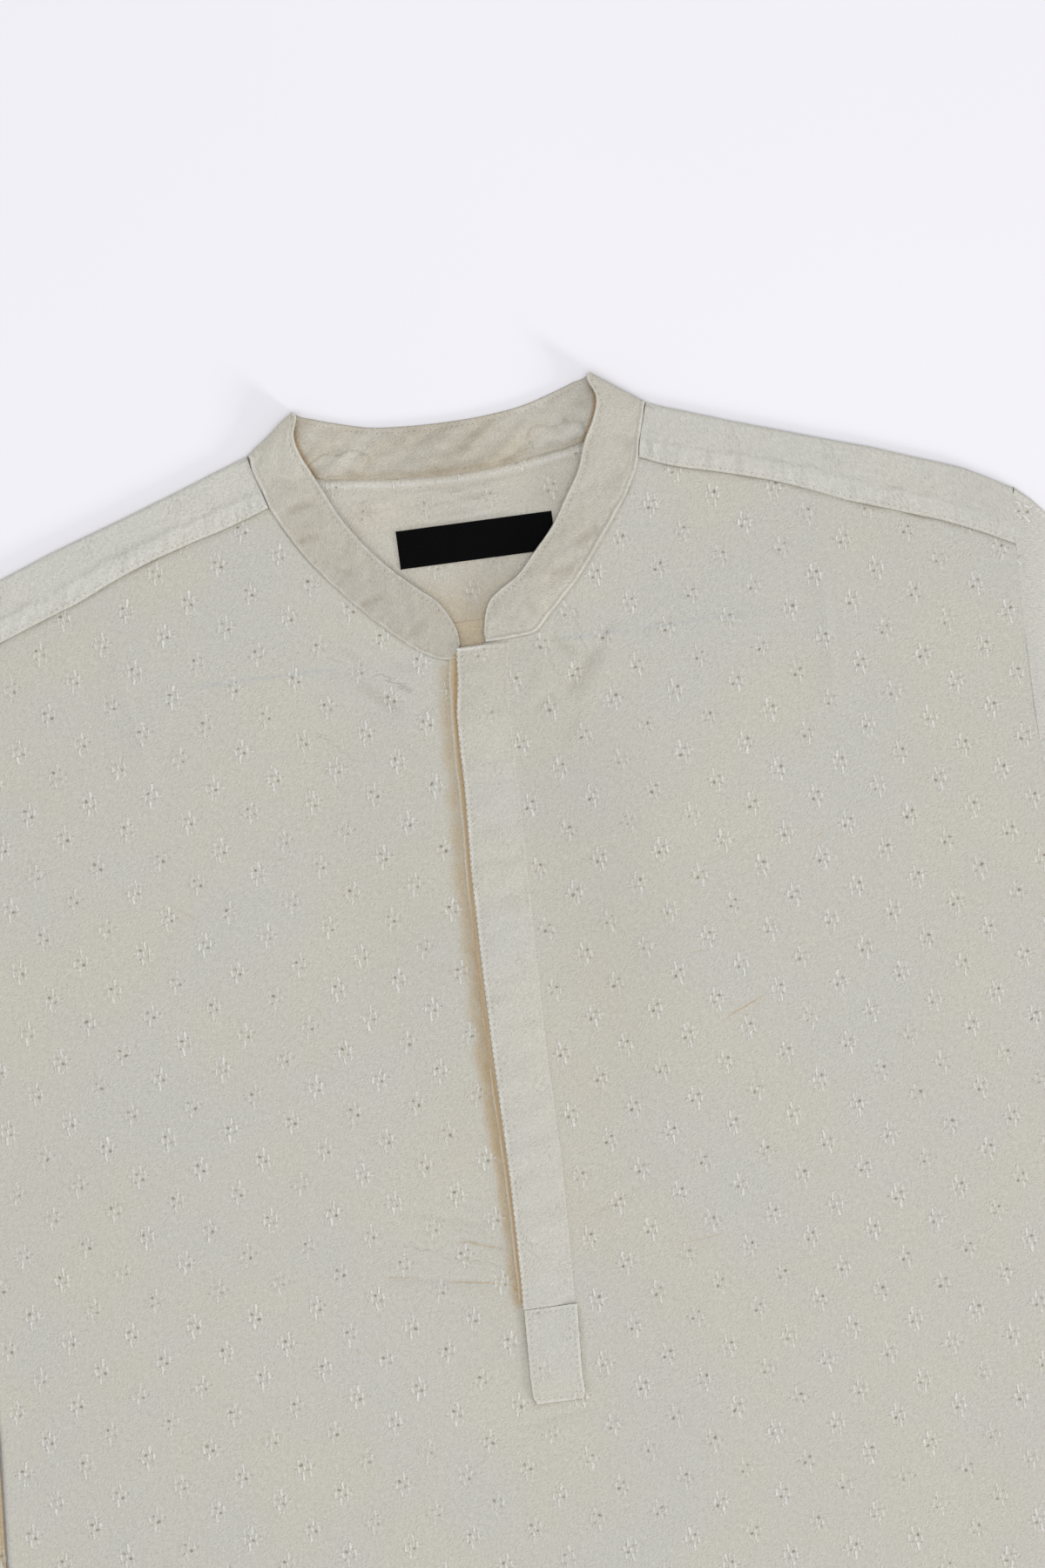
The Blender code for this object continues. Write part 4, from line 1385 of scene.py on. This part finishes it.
def chalk(u, v):
    """Faint blue-grey lines across the chest."""
    total = np.zeros(u.shape)
    for start, end, level in BLUE_GREY_LINES:
        ends = rise(u - start, 8.0) * rise(end - u, 8.0)
        total = total + ends * hill(v - level, 1.1) * (0.8 + 0.2 * ripple(u, 0.0 * v, 13.0, 45))
    return np.clip(total, 0.0, 1.0)


def placket_shade(u, v):
    """Thin shade on the front beside the placket's right edge and round its end box."""
    off = u - along(PLACKET, v, 2)
    beside = 0.09 * hill(off - 0.5, 1.1) * rise(v - 150.0, 60.0) * (v < TAB[0][0])
    left, right = along(TAB, v), along(TAB, v, 2)
    away_u = np.maximum(np.maximum(left - u, u - right), 0.0)
    away_v = np.maximum(np.maximum(TAB[0][0] - v, v - TAB[-1][0]), 0.0)
    away = np.hypot(away_u, away_v)
    box = 0.34 * fade(away, 1.5) * (v > TAB[0][0])
    return np.maximum(beside, box)


def forward_seam_v(u):
    """v of the forward shoulder seam at a distance from the middle."""
    return np.interp(np.abs(u), column(FORWARD_SEAM, 0), column(FORWARD_SEAM, 1), left=-FAR_OFF)


def make_front(material):
    """Upper panel in one piece, slit from the neck to the end box."""
    piece = Piece()
    edge_wall = 0.9
    lowest_edge = 1.05
    for side, rows in ((-1, COLLAR_LEFT), (1, COLLAR_RIGHT)):
        plan, from_inner, from_outer, neck = front_plan(side, rows)
        u, v = plan[..., 0], plan[..., 1]
        z, fields = front_details(u, v, from_inner, from_outer, neck, side)
        # the cloth's own thickness, turned down along the outer edge, the hem and the shoulder
        points = np.dstack([u, v, z])
        low = points[:, -1:] - (0.0, 0.0, edge_wall)
        low[..., 2] = np.maximum(low[..., 2], lowest_edge)
        points = np.concatenate([points, low], axis=1)
        hem = points[-1:] - (0.0, 0.0, WALL)
        top = points[:1] - (0.0, 0.0, WALL)
        points = np.concatenate([top, points, hem], axis=0)
        padded = {}
        for name, value in fields.items():
            value = np.broadcast_to(value, u.shape)
            padded[name] = np.pad(value, ((1, 1), (0, 1)), mode="edge")
        if side < 0:
            points = points[:, ::-1]
            padded = {name: value[:, ::-1] for name, value in padded.items()}
        cloth = points[..., :2]
        piece.fill(piece.grid(points, cloth, **padded))
    made = piece.build("front_panel", material)
    merge(made, JOIN_REACH)
    return made


def merge(made, reach):
    """Joins points that share a place, so that the shading runs on across them."""
    mesh = bmesh.new()
    mesh.from_mesh(made.data)
    bmesh.ops.remove_doubles(mesh, verts=mesh.verts, dist=reach)
    mesh.to_mesh(made.data)
    mesh.free()


def sleeve_cloth(plan, arc_part, under_count, angles):
    """Cloth coordinates of the right sleeve, laid along its middle line and round its fold."""
    line = smooth_line(SLEEVE_MIDDLE, 500)
    tree = tree_of(line)
    run = np.gradient(line, axis=0)
    run /= np.linalg.norm(run, axis=1, keepdims=True)
    flat = plan.reshape(-1, 2)
    nearest = np.array([tree.find((u, v, 0.0))[1] for u, v in flat])
    off = flat - line[nearest]
    down = (lengths(line)[nearest] + (off * run[nearest]).sum(axis=1)).reshape(plan.shape[:2])
    across = off[:, 0] * run[nearest, 1] - off[:, 1] * run[nearest, 0]
    across = across.reshape(plan.shape[:2])
    first = arc_part + under_count
    last = first + len(angles)
    fold = across[:, first + len(angles) // 2][:, None]
    # a half turn of cloth is longer than the fold is wide
    longer = FOLD_RADIUS * (math.pi / 2 - 1.0)
    across[:, :first] = 2.0 * (fold + longer) - across[:, :first]
    across[:, first:last] = fold + longer - FOLD_RADIUS * angles
    return np.dstack([SLEEVE_START[0] - across, SLEEVE_START[1] + down])


def make_sleeve(name, side, material):
    """Flattened tube from the armhole to the plain cuff."""
    piece = Piece()
    stations = 190
    # column of the inner fold where the ring of cloth starts and ends
    join = 6
    cap_share = 0.42
    cap_drop = 24.0
    curve_end = 0.35
    first_inner_u = 262.4
    fold_share = 0.015
    lip_low = 0.55
    lip_high = FOLD_HEIGHT - 0.7
    outer = by_length(rounded(SLEEVE_OUTER), stations)
    t = np.linspace(0.0, 1.0, stations)
    drop = cap_drop * np.minimum(t / cap_share, 1.0)
    below_cap = np.maximum(t - cap_share, 0.0)
    drop = drop + (CUFF_INNER - UNDERARM - cap_drop) * below_cap / (1.0 - cap_share)
    inner_v = UNDERARM + drop
    inner = np.column_stack([sleeve_inner_u(inner_v), inner_v])
    step = inner - outer
    step /= np.linalg.norm(step, axis=1, keepdims=True)
    curve_share = fade(t, curve_end)

    def across(share):
        straight = outer[:, None] + (inner - outer)[:, None] * share[:, None]
        v = ARMHOLE[0][0] + (UNDERARM - ARMHOLE[0][0]) * share
        first = outer[0] + (np.array([first_inner_u, UNDERARM]) - outer[0]) * share[:, None]
        shift = along(ARMHOLE, v) + 0.03 - first[:, 0]
        straight[..., 0] += shift * curve_share[:, None]
        return straight

    angles = np.radians(np.linspace(-90.0, 90.0, 11))
    fine = np.linspace(fold_share, 1.0 - fold_share, 84)
    coarse = np.linspace(1.0 - fold_share, fold_share, 40)
    one = outer + step * FOLD_RADIUS
    two = inner - step * FOLD_RADIUS
    arc_one = one[:, None] - step[:, None] * FOLD_RADIUS * np.cos(angles)[:, None]
    arc_two = two[:, None] + step[:, None] * FOLD_RADIUS * np.cos(angles[::-1])[:, None]
    top = across(fine)
    under = across(coarse)
    height = FOLD_RADIUS * (1.0 + np.sin(angles))
    top_z = top_height(side * top[..., 0], top[..., 1])
    across_share = np.broadcast_to(fine, top_z.shape)
    calm = np.sqrt(np.clip(hill(across_share - 0.5, 0.5), 0.0, 1.0))
    top_z = top_z + calm * unevenness(top[..., 0], top[..., 1], SLEEVE_FACE, side)
    seam = np.broadcast_to(t[:, None] * lengths(outer)[-1], top_z.shape)
    top_z = top_z - 0.05 * hill(seam, 1.3)
    under_z = np.zeros(under.shape[:2])
    calm = np.sqrt(np.clip(hill(coarse - 0.5, 0.5), 0.0, 1.0))
    dent = 0.2 * (1.0 + ripple(under[..., 0], under[..., 1], 50.0, 57 + side))
    under_z = under_z + calm * np.clip(dent, 0.0, 0.6)
    plan = np.concatenate([arc_two[:, join:], under, arc_one, top, arc_two[:, :join + 1]], axis=1)
    rising = np.broadcast_to(height, arc_one.shape[:2])
    sinking = rising[:, ::-1]
    heights = [sinking[:, join:], under_z, rising, top_z, sinking[:, :join + 1]]
    z = np.concatenate(heights, axis=1)
    points = np.dstack([plan, z])
    steps = np.linalg.norm(np.diff(points, axis=1), axis=2)
    round_path = np.concatenate([np.zeros((stations, 1)), np.cumsum(steps, axis=1)], axis=1)
    down = np.broadcast_to((t * lengths(outer)[-1])[:, None], round_path.shape)
    cloth = sleeve_cloth(plan, len(angles) - join, len(coarse), angles) * (side, 1.0)
    # painted warm shade and painted shade beside the inner fold, in the groove along the body's
    # side
    beside_fold = np.maximum(across_share - 0.97, 0.0) / 0.03
    shade = [np.ones(rising[:, join:].shape), np.zeros(under_z.shape), np.zeros(rising.shape),
             beside_fold, np.ones(rising[:, :join + 1].shape)]
    shade = np.concatenate(shade, axis=1) * rise(t[:, None] - 0.25, 0.1)
    points[..., 0] *= side
    # lighter from below the armhole seam, fading further down
    pale = 0.12 + 0.29 * rise(down, 40.0) * (1.0 - 0.8 * rise(down - 130.0, 150.0))
    fields = {"tan": shade, "pale": pale, "dark": 0.34 * shade, "motif": 1.0, "run": round_path,
              "stitch": (lengths(outer)[-1] - down) - HEM_WIDTH}
    fields = {key: np.broadcast_to(value, plan.shape[:2]) for key, value in fields.items()}
    if side < 0:
        points = points[:, ::-1]
        cloth = cloth[:, ::-1]
        fields = {key: value[:, ::-1] for key, value in fields.items()}
    # the cuff's edge, turned back into the sleeve
    lip = points[-1:].copy()
    lip[..., 2] = np.clip(lip[..., 2], lip_low, lip_high)
    back_in = lip.copy()
    back_in[..., 1] -= CUFF_TURN
    points = np.concatenate([points, lip, back_in], axis=0)
    cloth = np.concatenate([cloth, cloth[-1:], cloth[-1:] - (0.0, CUFF_TURN)], axis=0)
    fields = {key: np.pad(value, ((0, 2), (0, 0)), mode="edge") for key, value in fields.items()}
    piece.fill(piece.grid(points, cloth, **fields))
    return piece.build(name, material)


def collar_sections():
    """Base and edge of the band's outer face, from its left front end to its right."""
    halves = []
    for rows in (COLLAR_LEFT, COLLAR_RIGHT):
        half = []
        base_fold = np.array(rows[0][:2])
        edge_fold = np.array(rows[0][2:4])
        line = unit(edge_fold - base_fold)
        out = np.array([line[1], -line[0]])
        if out[1] > 0.0:
            out = -out
        for angle in np.radians(np.linspace(-75.0, 90.0, 12)):
            pair = []
            for point, height in ((base_fold, COLLAR_BASE_HEIGHT), (edge_fold, COLLAR_FOLD_HEIGHT)):
                radius = height / 2
                u, v = point - out * radius * FOLD_PULL * (1.0 - math.cos(angle))
                pair.append((u, v, radius * (1.0 + math.sin(angle))))
            half.append(tuple(pair))
        for base_u, base_v, edge_u, edge_v, edge_z in rows[1:]:
            half.append(((base_u, base_v, COLLAR_BASE_HEIGHT), (edge_u, edge_v, edge_z)))
        halves.append(half)
    back = [((row[0], row[1], 0.0), (row[2], row[3], 0.0)) for row in COLLAR_BACK]
    return halves[0][::-1] + back + halves[1]


def make_collar(material):
    """Band collar, pressed flat: its back lies inner face up and its fronts outer face up."""
    piece = Piece()
    stations = 560
    full_width = 8.0
    sections = np.array(collar_sections())[::-1]
    middle = sections.mean(axis=1)
    knots = lengths(middle)
    at = np.linspace(0.0, knots[-1], stations)
    sections = smooth_curve(sections, knots, at)
    sections[..., 2] = np.maximum(sections[..., 2], 0.0)
    base, edge = sections[:, 0], sections[:, 1]
    width = np.linalg.norm(edge - base, axis=1)[:, None]
    near = np.array((0.0, 0.35, 0.7, 1.05, 1.4, 1.75, 2.1, 2.5, 3.0, 3.6))
    far = np.array((4.0, 3.4, 2.9, 2.5, 2.1, 1.7, 1.3, 0.9, 0.45, 0.0))
    share = np.linspace(0.0, 1.0, 20)[1:-1]
    narrow = np.minimum(width / full_width, 1.0)
    from_base = np.hstack([
        near * narrow,
        near[-1] * narrow + (width - (near[-1] + far[0]) * narrow) * share,
        width - far * narrow,
    ])
    from_edge = width - from_base
    share = (from_base / width)[..., None]
    outer = base[:, None] + (edge - base)[:, None] * share
    facing = normals_of(outer)
    inner = outer - facing * COLLAR_WALL
    u, v = outer[..., 0], outer[..., 1]
    run = np.broadcast_to(at[:, None], u.shape)
    front = rise(outer[..., 2].mean(axis=1) - 3.0, 2.0)[:, None]
    calm = rise(np.minimum(from_base, from_edge), 4.0)
    wander = 0.3 * ripple(run, 0.0 * run, 11.0, 68)
    pucker = ripple(run + 0.6 * from_edge, from_edge * 0.3, 4.4, 69)
    relief = (0.42 + 0.12 * wander) * hill(from_base - 1.0 - wander, 1.1)
    relief = relief + 0.12 * hill(from_edge, 1.2)
    relief = relief + 0.10 * pucker * (hill(from_edge - 3.6, 3.0) + hill(from_base - 4.6, 3.0))
    relief = relief - 0.20 * hill(from_edge - 2.2, 0.8) - 0.25 * hill(from_base - 2.4, 1.0)
    slant = run + 0.8 * from_base
    creased = calm * sum(crease(u, v, *row) for row in BAND_CREASES)
    relief = relief + creased + calm * (0.26 * ripple(slant, from_base, 30.0, 61)
                                        + 0.17 * ripple(slant, from_base * 0.6, 9.0, 62))
    relief = relief - (0.40 + 0.20 * fade(v - 20.0, 25.0)) * hill(from_base, 0.9)
    outer = outer + facing * (relief * front)[..., None]
    patch = np.zeros(u.shape)
    rim = np.zeros(u.shape)
    wave = 0.8 * ripple(u, v, 7.0, 66)
    for mark_u, mark_v, half_u, half_v in PATCHES:
        off = np.hypot((u - mark_u) / half_u, (v + wave - mark_v) / half_v)
        patch = np.maximum(patch, fade(off - 0.85, 0.25))
        rim = np.maximum(rim, hill(off - 1.08, 0.16))
    slant = u + 1.3 * v
    under = 0.60 * patch + calm * (0.42 * ripple(slant, v * 0.4, 18.0, 63)
                                   + 0.20 * ripple(slant * 0.7, v * 0.7, 8.0, 64))
    under = under - 0.12 * hill(from_edge - 2.2, 0.8) + 0.20 * hill(from_base - 1.0, 1.2)
    inner = inner - facing * (under * (1.0 - front))[..., None]
    # painted shade down the bands and in the creases' troughs
    shade = np.where(u < 0.0, along(BAND_SHADE_LEFT, v), along(BAND_SHADE_RIGHT, v))
    shade = shade + 0.025 * ripple(slant, from_base, 24.0, 65)
    shade = shade + 0.22 * np.clip(-creased / 0.6, 0.0, 1.0)
    shade = shade + 0.03 * ripple(u, v, 7.0, 70)
    # painted shade along the base seam
    base_shade = 0.05 + 0.11 * rise(v - 24.0, 20.0)
    dark = np.maximum(base_shade * fade(from_base, 0.6), shade) * front
    # painted highlight on the ridge above the base seam and along the inner edge, and painted light
    # on the upper left band
    pale = (0.50 + 0.5 * wander) * hill(from_base - 1.0 - wander, 0.9)
    pale = front * (pale + 0.50 * hill(from_edge - 0.2, 0.8))
    pale = pale + front * 0.12 * (u < 0.0) * hill(v - 2.0, 20.0)
    # painted shade inside the back collar: along its base and edge, round the raised patches,
    # towards its base and in the middle
    dark_inner = 0.35 * fade(from_base, 1.0)
    dark_inner = np.maximum(dark_inner, 0.40 * fade(from_edge, 0.6))
    dark_inner = np.maximum(dark_inner, 0.34 * rim * (1.0 - patch))
    strain = ripple(slant * 0.6, v - 0.4 * u, 8.0, 71)
    under_base = 0.20 * fade(from_base - 1.0, 6.0) * (0.8 + 0.2 * strain)
    dark_inner = np.maximum(dark_inner, 0.07 + 0.06 * strain + under_base + 0.14 * hill(u, 48.0))
    # painted light on the inner back towards both sides
    pale_inner = 0.04 + 0.18 * rise(u - 15.0, 40.0) + 0.08 * rise(-25.0 - u, 30.0)
    # painted brown shade under the bands' inner edges, where they lie over the back collar
    gap = distance(u, v, BAND_EDGE_TREE)
    brown = (1.0 - front) * 0.7 * fade(gap - 0.8, 1.8) * rise(20.0 - v, 3.0)
    # painted warm shade inside the back collar, deeper near its base
    inner_tan = 0.12 + 0.06 * ripple(slant, v * 0.5, 26.0, 67)
    inner_tan = inner_tan + 0.18 * rise(5.0 - from_base, 5.0)
    stitch = np.minimum(from_edge - 1.2, 60.0)
    cloth = np.dstack([run, from_base])
    fields = {"tan": 0.04, "dark": np.clip(dark, 0.0, 1.0), "pale": pale, "stitch": stitch,
              "run": run, "rust": 0.0}
    # painted highlight on the raised patches
    inner_fields = {"tan": np.clip(inner_tan, 0.0, 1.0), "dark": dark_inner,
                    "pale": pale_inner + 0.07 * patch, "stitch": stitch, "run": run, "rust": brown}
    two_faced(piece, outer, inner, cloth, 0.35, inner_fields=inner_fields, **fields)
    return piece.build("collar_band", material)


def band_edge_line():
    """Inner edges of the bands beside their folds, where they lie over the collar's back."""
    return np.vstack([smooth_line([row[2:4] for row in rows[:6]], 60)
                      for rows in (COLLAR_LEFT, COLLAR_RIGHT)])


BAND_EDGE_TREE = tree_of(band_edge_line())


def strip(piece, rows, wall, rounding, **fields):
    """A strip from a grid of points on its upper face."""
    facing = normals_of(rows)
    cloth = rows[..., :2]
    two_faced(piece, rows, rows - facing * wall, cloth, rounding, **fields)


def placket_left(v):
    """Free left edge of the placket."""
    return along(PLACKET, v) + along(BESIDE_PLACKET, v, 4)


def make_under_placket(material):
    """Narrow facing on the left front's slit edge, under the placket."""
    piece = Piece()
    shown_most = 5.0
    v = np.linspace(UNDER_TOP - 3.0, UNDER_END, 200)[:, None]
    shown = along(BESIDE_PLACKET, v) * (1.0 + 0.08 * ripple(v, 0.0 * v, 24.0, 72))
    left = along(PLACKET, v) - shown
    right = slit_middle(v) + UNDER_PAST_SLIT
    width = right - left
    from_left = np.hstack([np.broadcast_to(np.linspace(0.0, shown_most, 16), (len(v), 16)),
                           shown_most + (width - shown_most) * np.linspace(0.0, 1.0, 8)[1:]])
    u = left + from_left
    v = np.broadcast_to(v, u.shape)
    z = FOLD_HEIGHT + 0.95 + 0.05 * ripple(u, v, 12.0, 71)
    z = z - 0.3 * fade(from_left, 1.5)
    off = u - along(PLACKET, v)
    # painted brown shade in the gap under the placket's edge, painted warm shade on the facing and
    # painted highlight on its fold edge
    gap = along(BESIDE_PLACKET, v, 3) * hill(off + along(BESIDE_PLACKET, v, 2), 1.1)
    fields = {"tan": 0.62 - 0.3 * hill(from_left - 0.5, 0.9), "rust": 0.8 * gap,
              "pale": 0.24 * hill(from_left - 0.5, 0.8), "stitch": FAR_OFF, "run": v}
    strip(piece, np.dstack([u, v, z]), PLACKET_LAYER, 0.3, **fields)
    return piece.build("placket_facing", material)


def make_placket(material):
    """Wide placket over the slit, free and raised along its left edge."""
    piece = Piece()
    on_under = FOLD_HEIGHT + 1.9
    on_front = FOLD_HEIGHT + 0.45
    fine_run = 3.0
    rows = []
    for v, _, right, lift in PLACKET:
        past_under = slit_middle(v) + UNDER_PAST_SLIT + 1.2
        left = float(placket_left(v))
        rows.append([
            (left, v, on_under + 0.35 * lift),
            ((left + past_under) / 2, v, on_under + 0.25 * lift),
            (past_under, v, on_under - 0.25),
            (right - 2.5, v, on_front + 0.30),
            (right, v, on_front),
        ])
    rows = np.array(rows)
    knots = rows[:, 0, 1]
    at = np.concatenate([knots[0] + np.linspace(0.0, fine_run, 9),
                         np.linspace(knots[0] + fine_run, knots[-1], 256)[1:]])
    rows = smooth_curve(rows, knots, at)
    rows[..., 0] += (placket_left(at) - rows[:, 0, 0])[:, None] * np.linspace(1.0, 0.0, 5)
    places = rows[:, :, 0] - rows[:, :1, 0]
    width = places[:, -1:]
    from_left = width * np.linspace(0.0, 1.0, 46)
    rows = np.array([smooth_curve(row, place, want)
                     for row, place, want in zip(rows, places, from_left)])
    u, v = rows[..., 0], rows[..., 1]
    from_right = width - from_left
    relief = 0.28 * ripple(u * 0.5, v, 20.0, 81) + 0.15 * ripple(u * 0.6, v, 8.0, 82)
    relief = relief - 0.14 * hill(from_left - 2.0, 0.9) - 0.10 * hill(from_right - 1.6, 0.9)
    relief = relief * rise(np.minimum(from_left, from_right), 2.0)
    relief = relief + 0.25 * hill(v - 100.9, 1.2)
    facing = normals_of(rows)
    outer = rows + facing * relief[..., None]
    inner = rows - facing * PLACKET_LAYER
    # painted warm shade by the free left edge and on the upper part, painted shade on the upper
    # part, and painted highlight along the left and top edges; the lower part is a little lighter
    top = fade(v - 101.0, 0.9)
    upper = fade(v - 112.0, 40.0)
    tan = 0.04 * upper + 0.06 * hill(from_left, 1.5)
    stitch = np.minimum(np.abs(from_left - 1.0), 1.0 + np.abs(from_right - 0.8))
    top = top * fade(from_left - 7.0, 12.0)
    pale = np.maximum(0.50 * hill(from_left - 0.4, 1.1), 0.6 * top)
    pale = np.maximum(pale, 0.08 * rise(v - 190.0, 90.0))
    fields = {"tan": tan, "pale": pale, "dark": 0.07 * upper * (1.0 - top),
              "stitch": stitch, "run": v, "motif": 0.32 + 0.35 * upper}
    two_faced(piece, outer, inner, np.dstack([u, v]), 0.35, **fields)
    return piece.build("placket_front", material)


def make_tab(material):
    """End box sewn over the placket's foot."""
    piece = Piece()
    v = np.linspace(TAB[0][0], TAB[-1][0], 60)
    left, right = (along(TAB, v, k)[:, None] for k in (1, 2))
    u = left + (right - left) * np.linspace(0.0, 1.0, 36)
    v = np.broadcast_to(v[:, None], u.shape)
    edge = np.minimum(np.minimum(u - left, right - u), np.minimum(v - TAB[0][0], TAB[-1][0] - v))
    z = FOLD_HEIGHT + GAP + TAB_WALL - 0.3 * hill(edge, 1.0) - 0.15 * hill(edge - 2.0, 0.8)
    z = z + 0.06 * ripple(u, v, 9.0, 91)
    # painted highlight along the end box's edges
    strip(piece, np.dstack([u, v, z]), TAB_WALL, 0.3, stitch=edge - 0.9, run=u + v, motif=0.6,
          pale=0.09 + 0.5 * hill(edge - 0.3, 0.9))
    return piece.build("placket_end", material)


def make_label(material):
    """Blank label on the yoke's inner face."""
    piece = Piece()
    u, v = np.meshgrid(np.linspace(LABEL_LEFT, LABEL_RIGHT, 120),
                       np.linspace(LABEL_TOP, LABEL_BOTTOM, 32))
    edge = np.minimum(np.minimum(u - LABEL_LEFT, LABEL_RIGHT - u),
                      np.minimum(v - LABEL_TOP, LABEL_BOTTOM - v))
    z = WALL + GAP + LABEL_WALL - 0.25 * hill(edge, 1.2) + 0.05 * ripple(u, v, 15.0, 95)
    strip(piece, np.dstack([u, v, z]), LABEL_WALL, 0.2)
    return piece.build("neck_label", material)


def main_pieces():
    """Every piece of the shirt, in the place of its solid."""
    jacquard = cloth_material("jacquard", ECRU, True)
    placket_cloth = cloth_material("placket_cloth", ECRU, True)
    trim = cloth_material("collar_cloth", COLLAR_ECRU, False)
    black = label_material()
    made = {
        "back": make_back(jacquard),
        "yoke": make_yoke(jacquard),
        "front": make_front(jacquard),
        "sleeve_left": make_sleeve("left_sleeve", -1, jacquard),
        "sleeve_right": make_sleeve("right_sleeve", 1, jacquard),
        "collar": make_collar(trim),
        "placket_under": make_under_placket(trim),
        "placket_top": make_placket(placket_cloth),
        "placket_tab": make_tab(placket_cloth),
        "label": make_label(black),
    }
    for node, piece in made.items():
        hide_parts(node)
    return made


def make_floor():
    """Plain pale floor under the garment."""
    mesh = bpy.data.meshes.new("floor")
    signs = ((-1, -1), (1, -1), (1, 1), (-1, 1))
    corners = [(x * FLOOR_REACH, y * FLOOR_REACH, -FLOOR_CLEAR) for x, y in signs]
    mesh.from_pydata(corners, [], [(0, 1, 2, 3)])
    floor = bpy.data.objects.new("floor", mesh)
    bpy.context.scene.collection.objects.link(floor)
    material, n, sockets = new_material("floor")
    place = n.new("ShaderNodeNewGeometry").outputs["Position"]
    noise = n.new("ShaderNodeTexNoise")
    noise.inputs["Scale"].default_value = 3.0
    n.put(place, noise.inputs["Vector"])
    n.put(n.mix(noise.outputs["Fac"], linear(FLOOR_TONE), linear(FLOOR_PALER)),
          sockets["Base Color"])
    sockets["Roughness"].default_value = 0.9
    sockets["Specular IOR Level"].default_value = 0.1
    mesh.materials.append(material)
    return floor


def make_camera():
    """Camera that looks straight down."""
    data = bpy.data.cameras.new("camera")
    data.lens = LENS
    data.sensor_width = SENSOR
    camera = bpy.data.objects.new("camera", data)
    camera.location = (VIEW_CENTRE[0], VIEW_CENTRE[1], VIEW_HEIGHT)
    camera.rotation_euler = (0.0, 0.0, math.radians(VIEW_TURN))
    bpy.context.scene.collection.objects.link(camera)
    bpy.context.scene.camera = camera


def make_light(name, place, size, power, colour):
    """Square area light, turned to the middle of the view."""
    data = bpy.data.lights.new(name, "AREA")
    data.size = size
    data.energy = power
    data.color = colour
    light = bpy.data.objects.new(name, data)
    light.location = place
    aim = Vector((*VIEW_CENTRE, 0.0)) - Vector(place)
    light.rotation_mode = "QUATERNION"
    light.rotation_quaternion = aim.to_track_quat("-Z", "Y")
    bpy.context.scene.collection.objects.link(light)


def make_lights():
    """Two area lights and a pale world."""
    scene = bpy.context.scene
    scene.view_settings.view_transform = "Standard"
    world = bpy.data.worlds.new("studio")
    scene.world = world
    world.use_nodes = True
    back = world.node_tree.nodes["Background"]
    back.inputs["Color"].default_value = WORLD_COLOUR
    back.inputs["Strength"].default_value = WORLD_STRENGTH
    for row in LIGHTS:
        make_light(*row)


make_camera()
pieces = main_pieces()
make_floor()
make_lights()
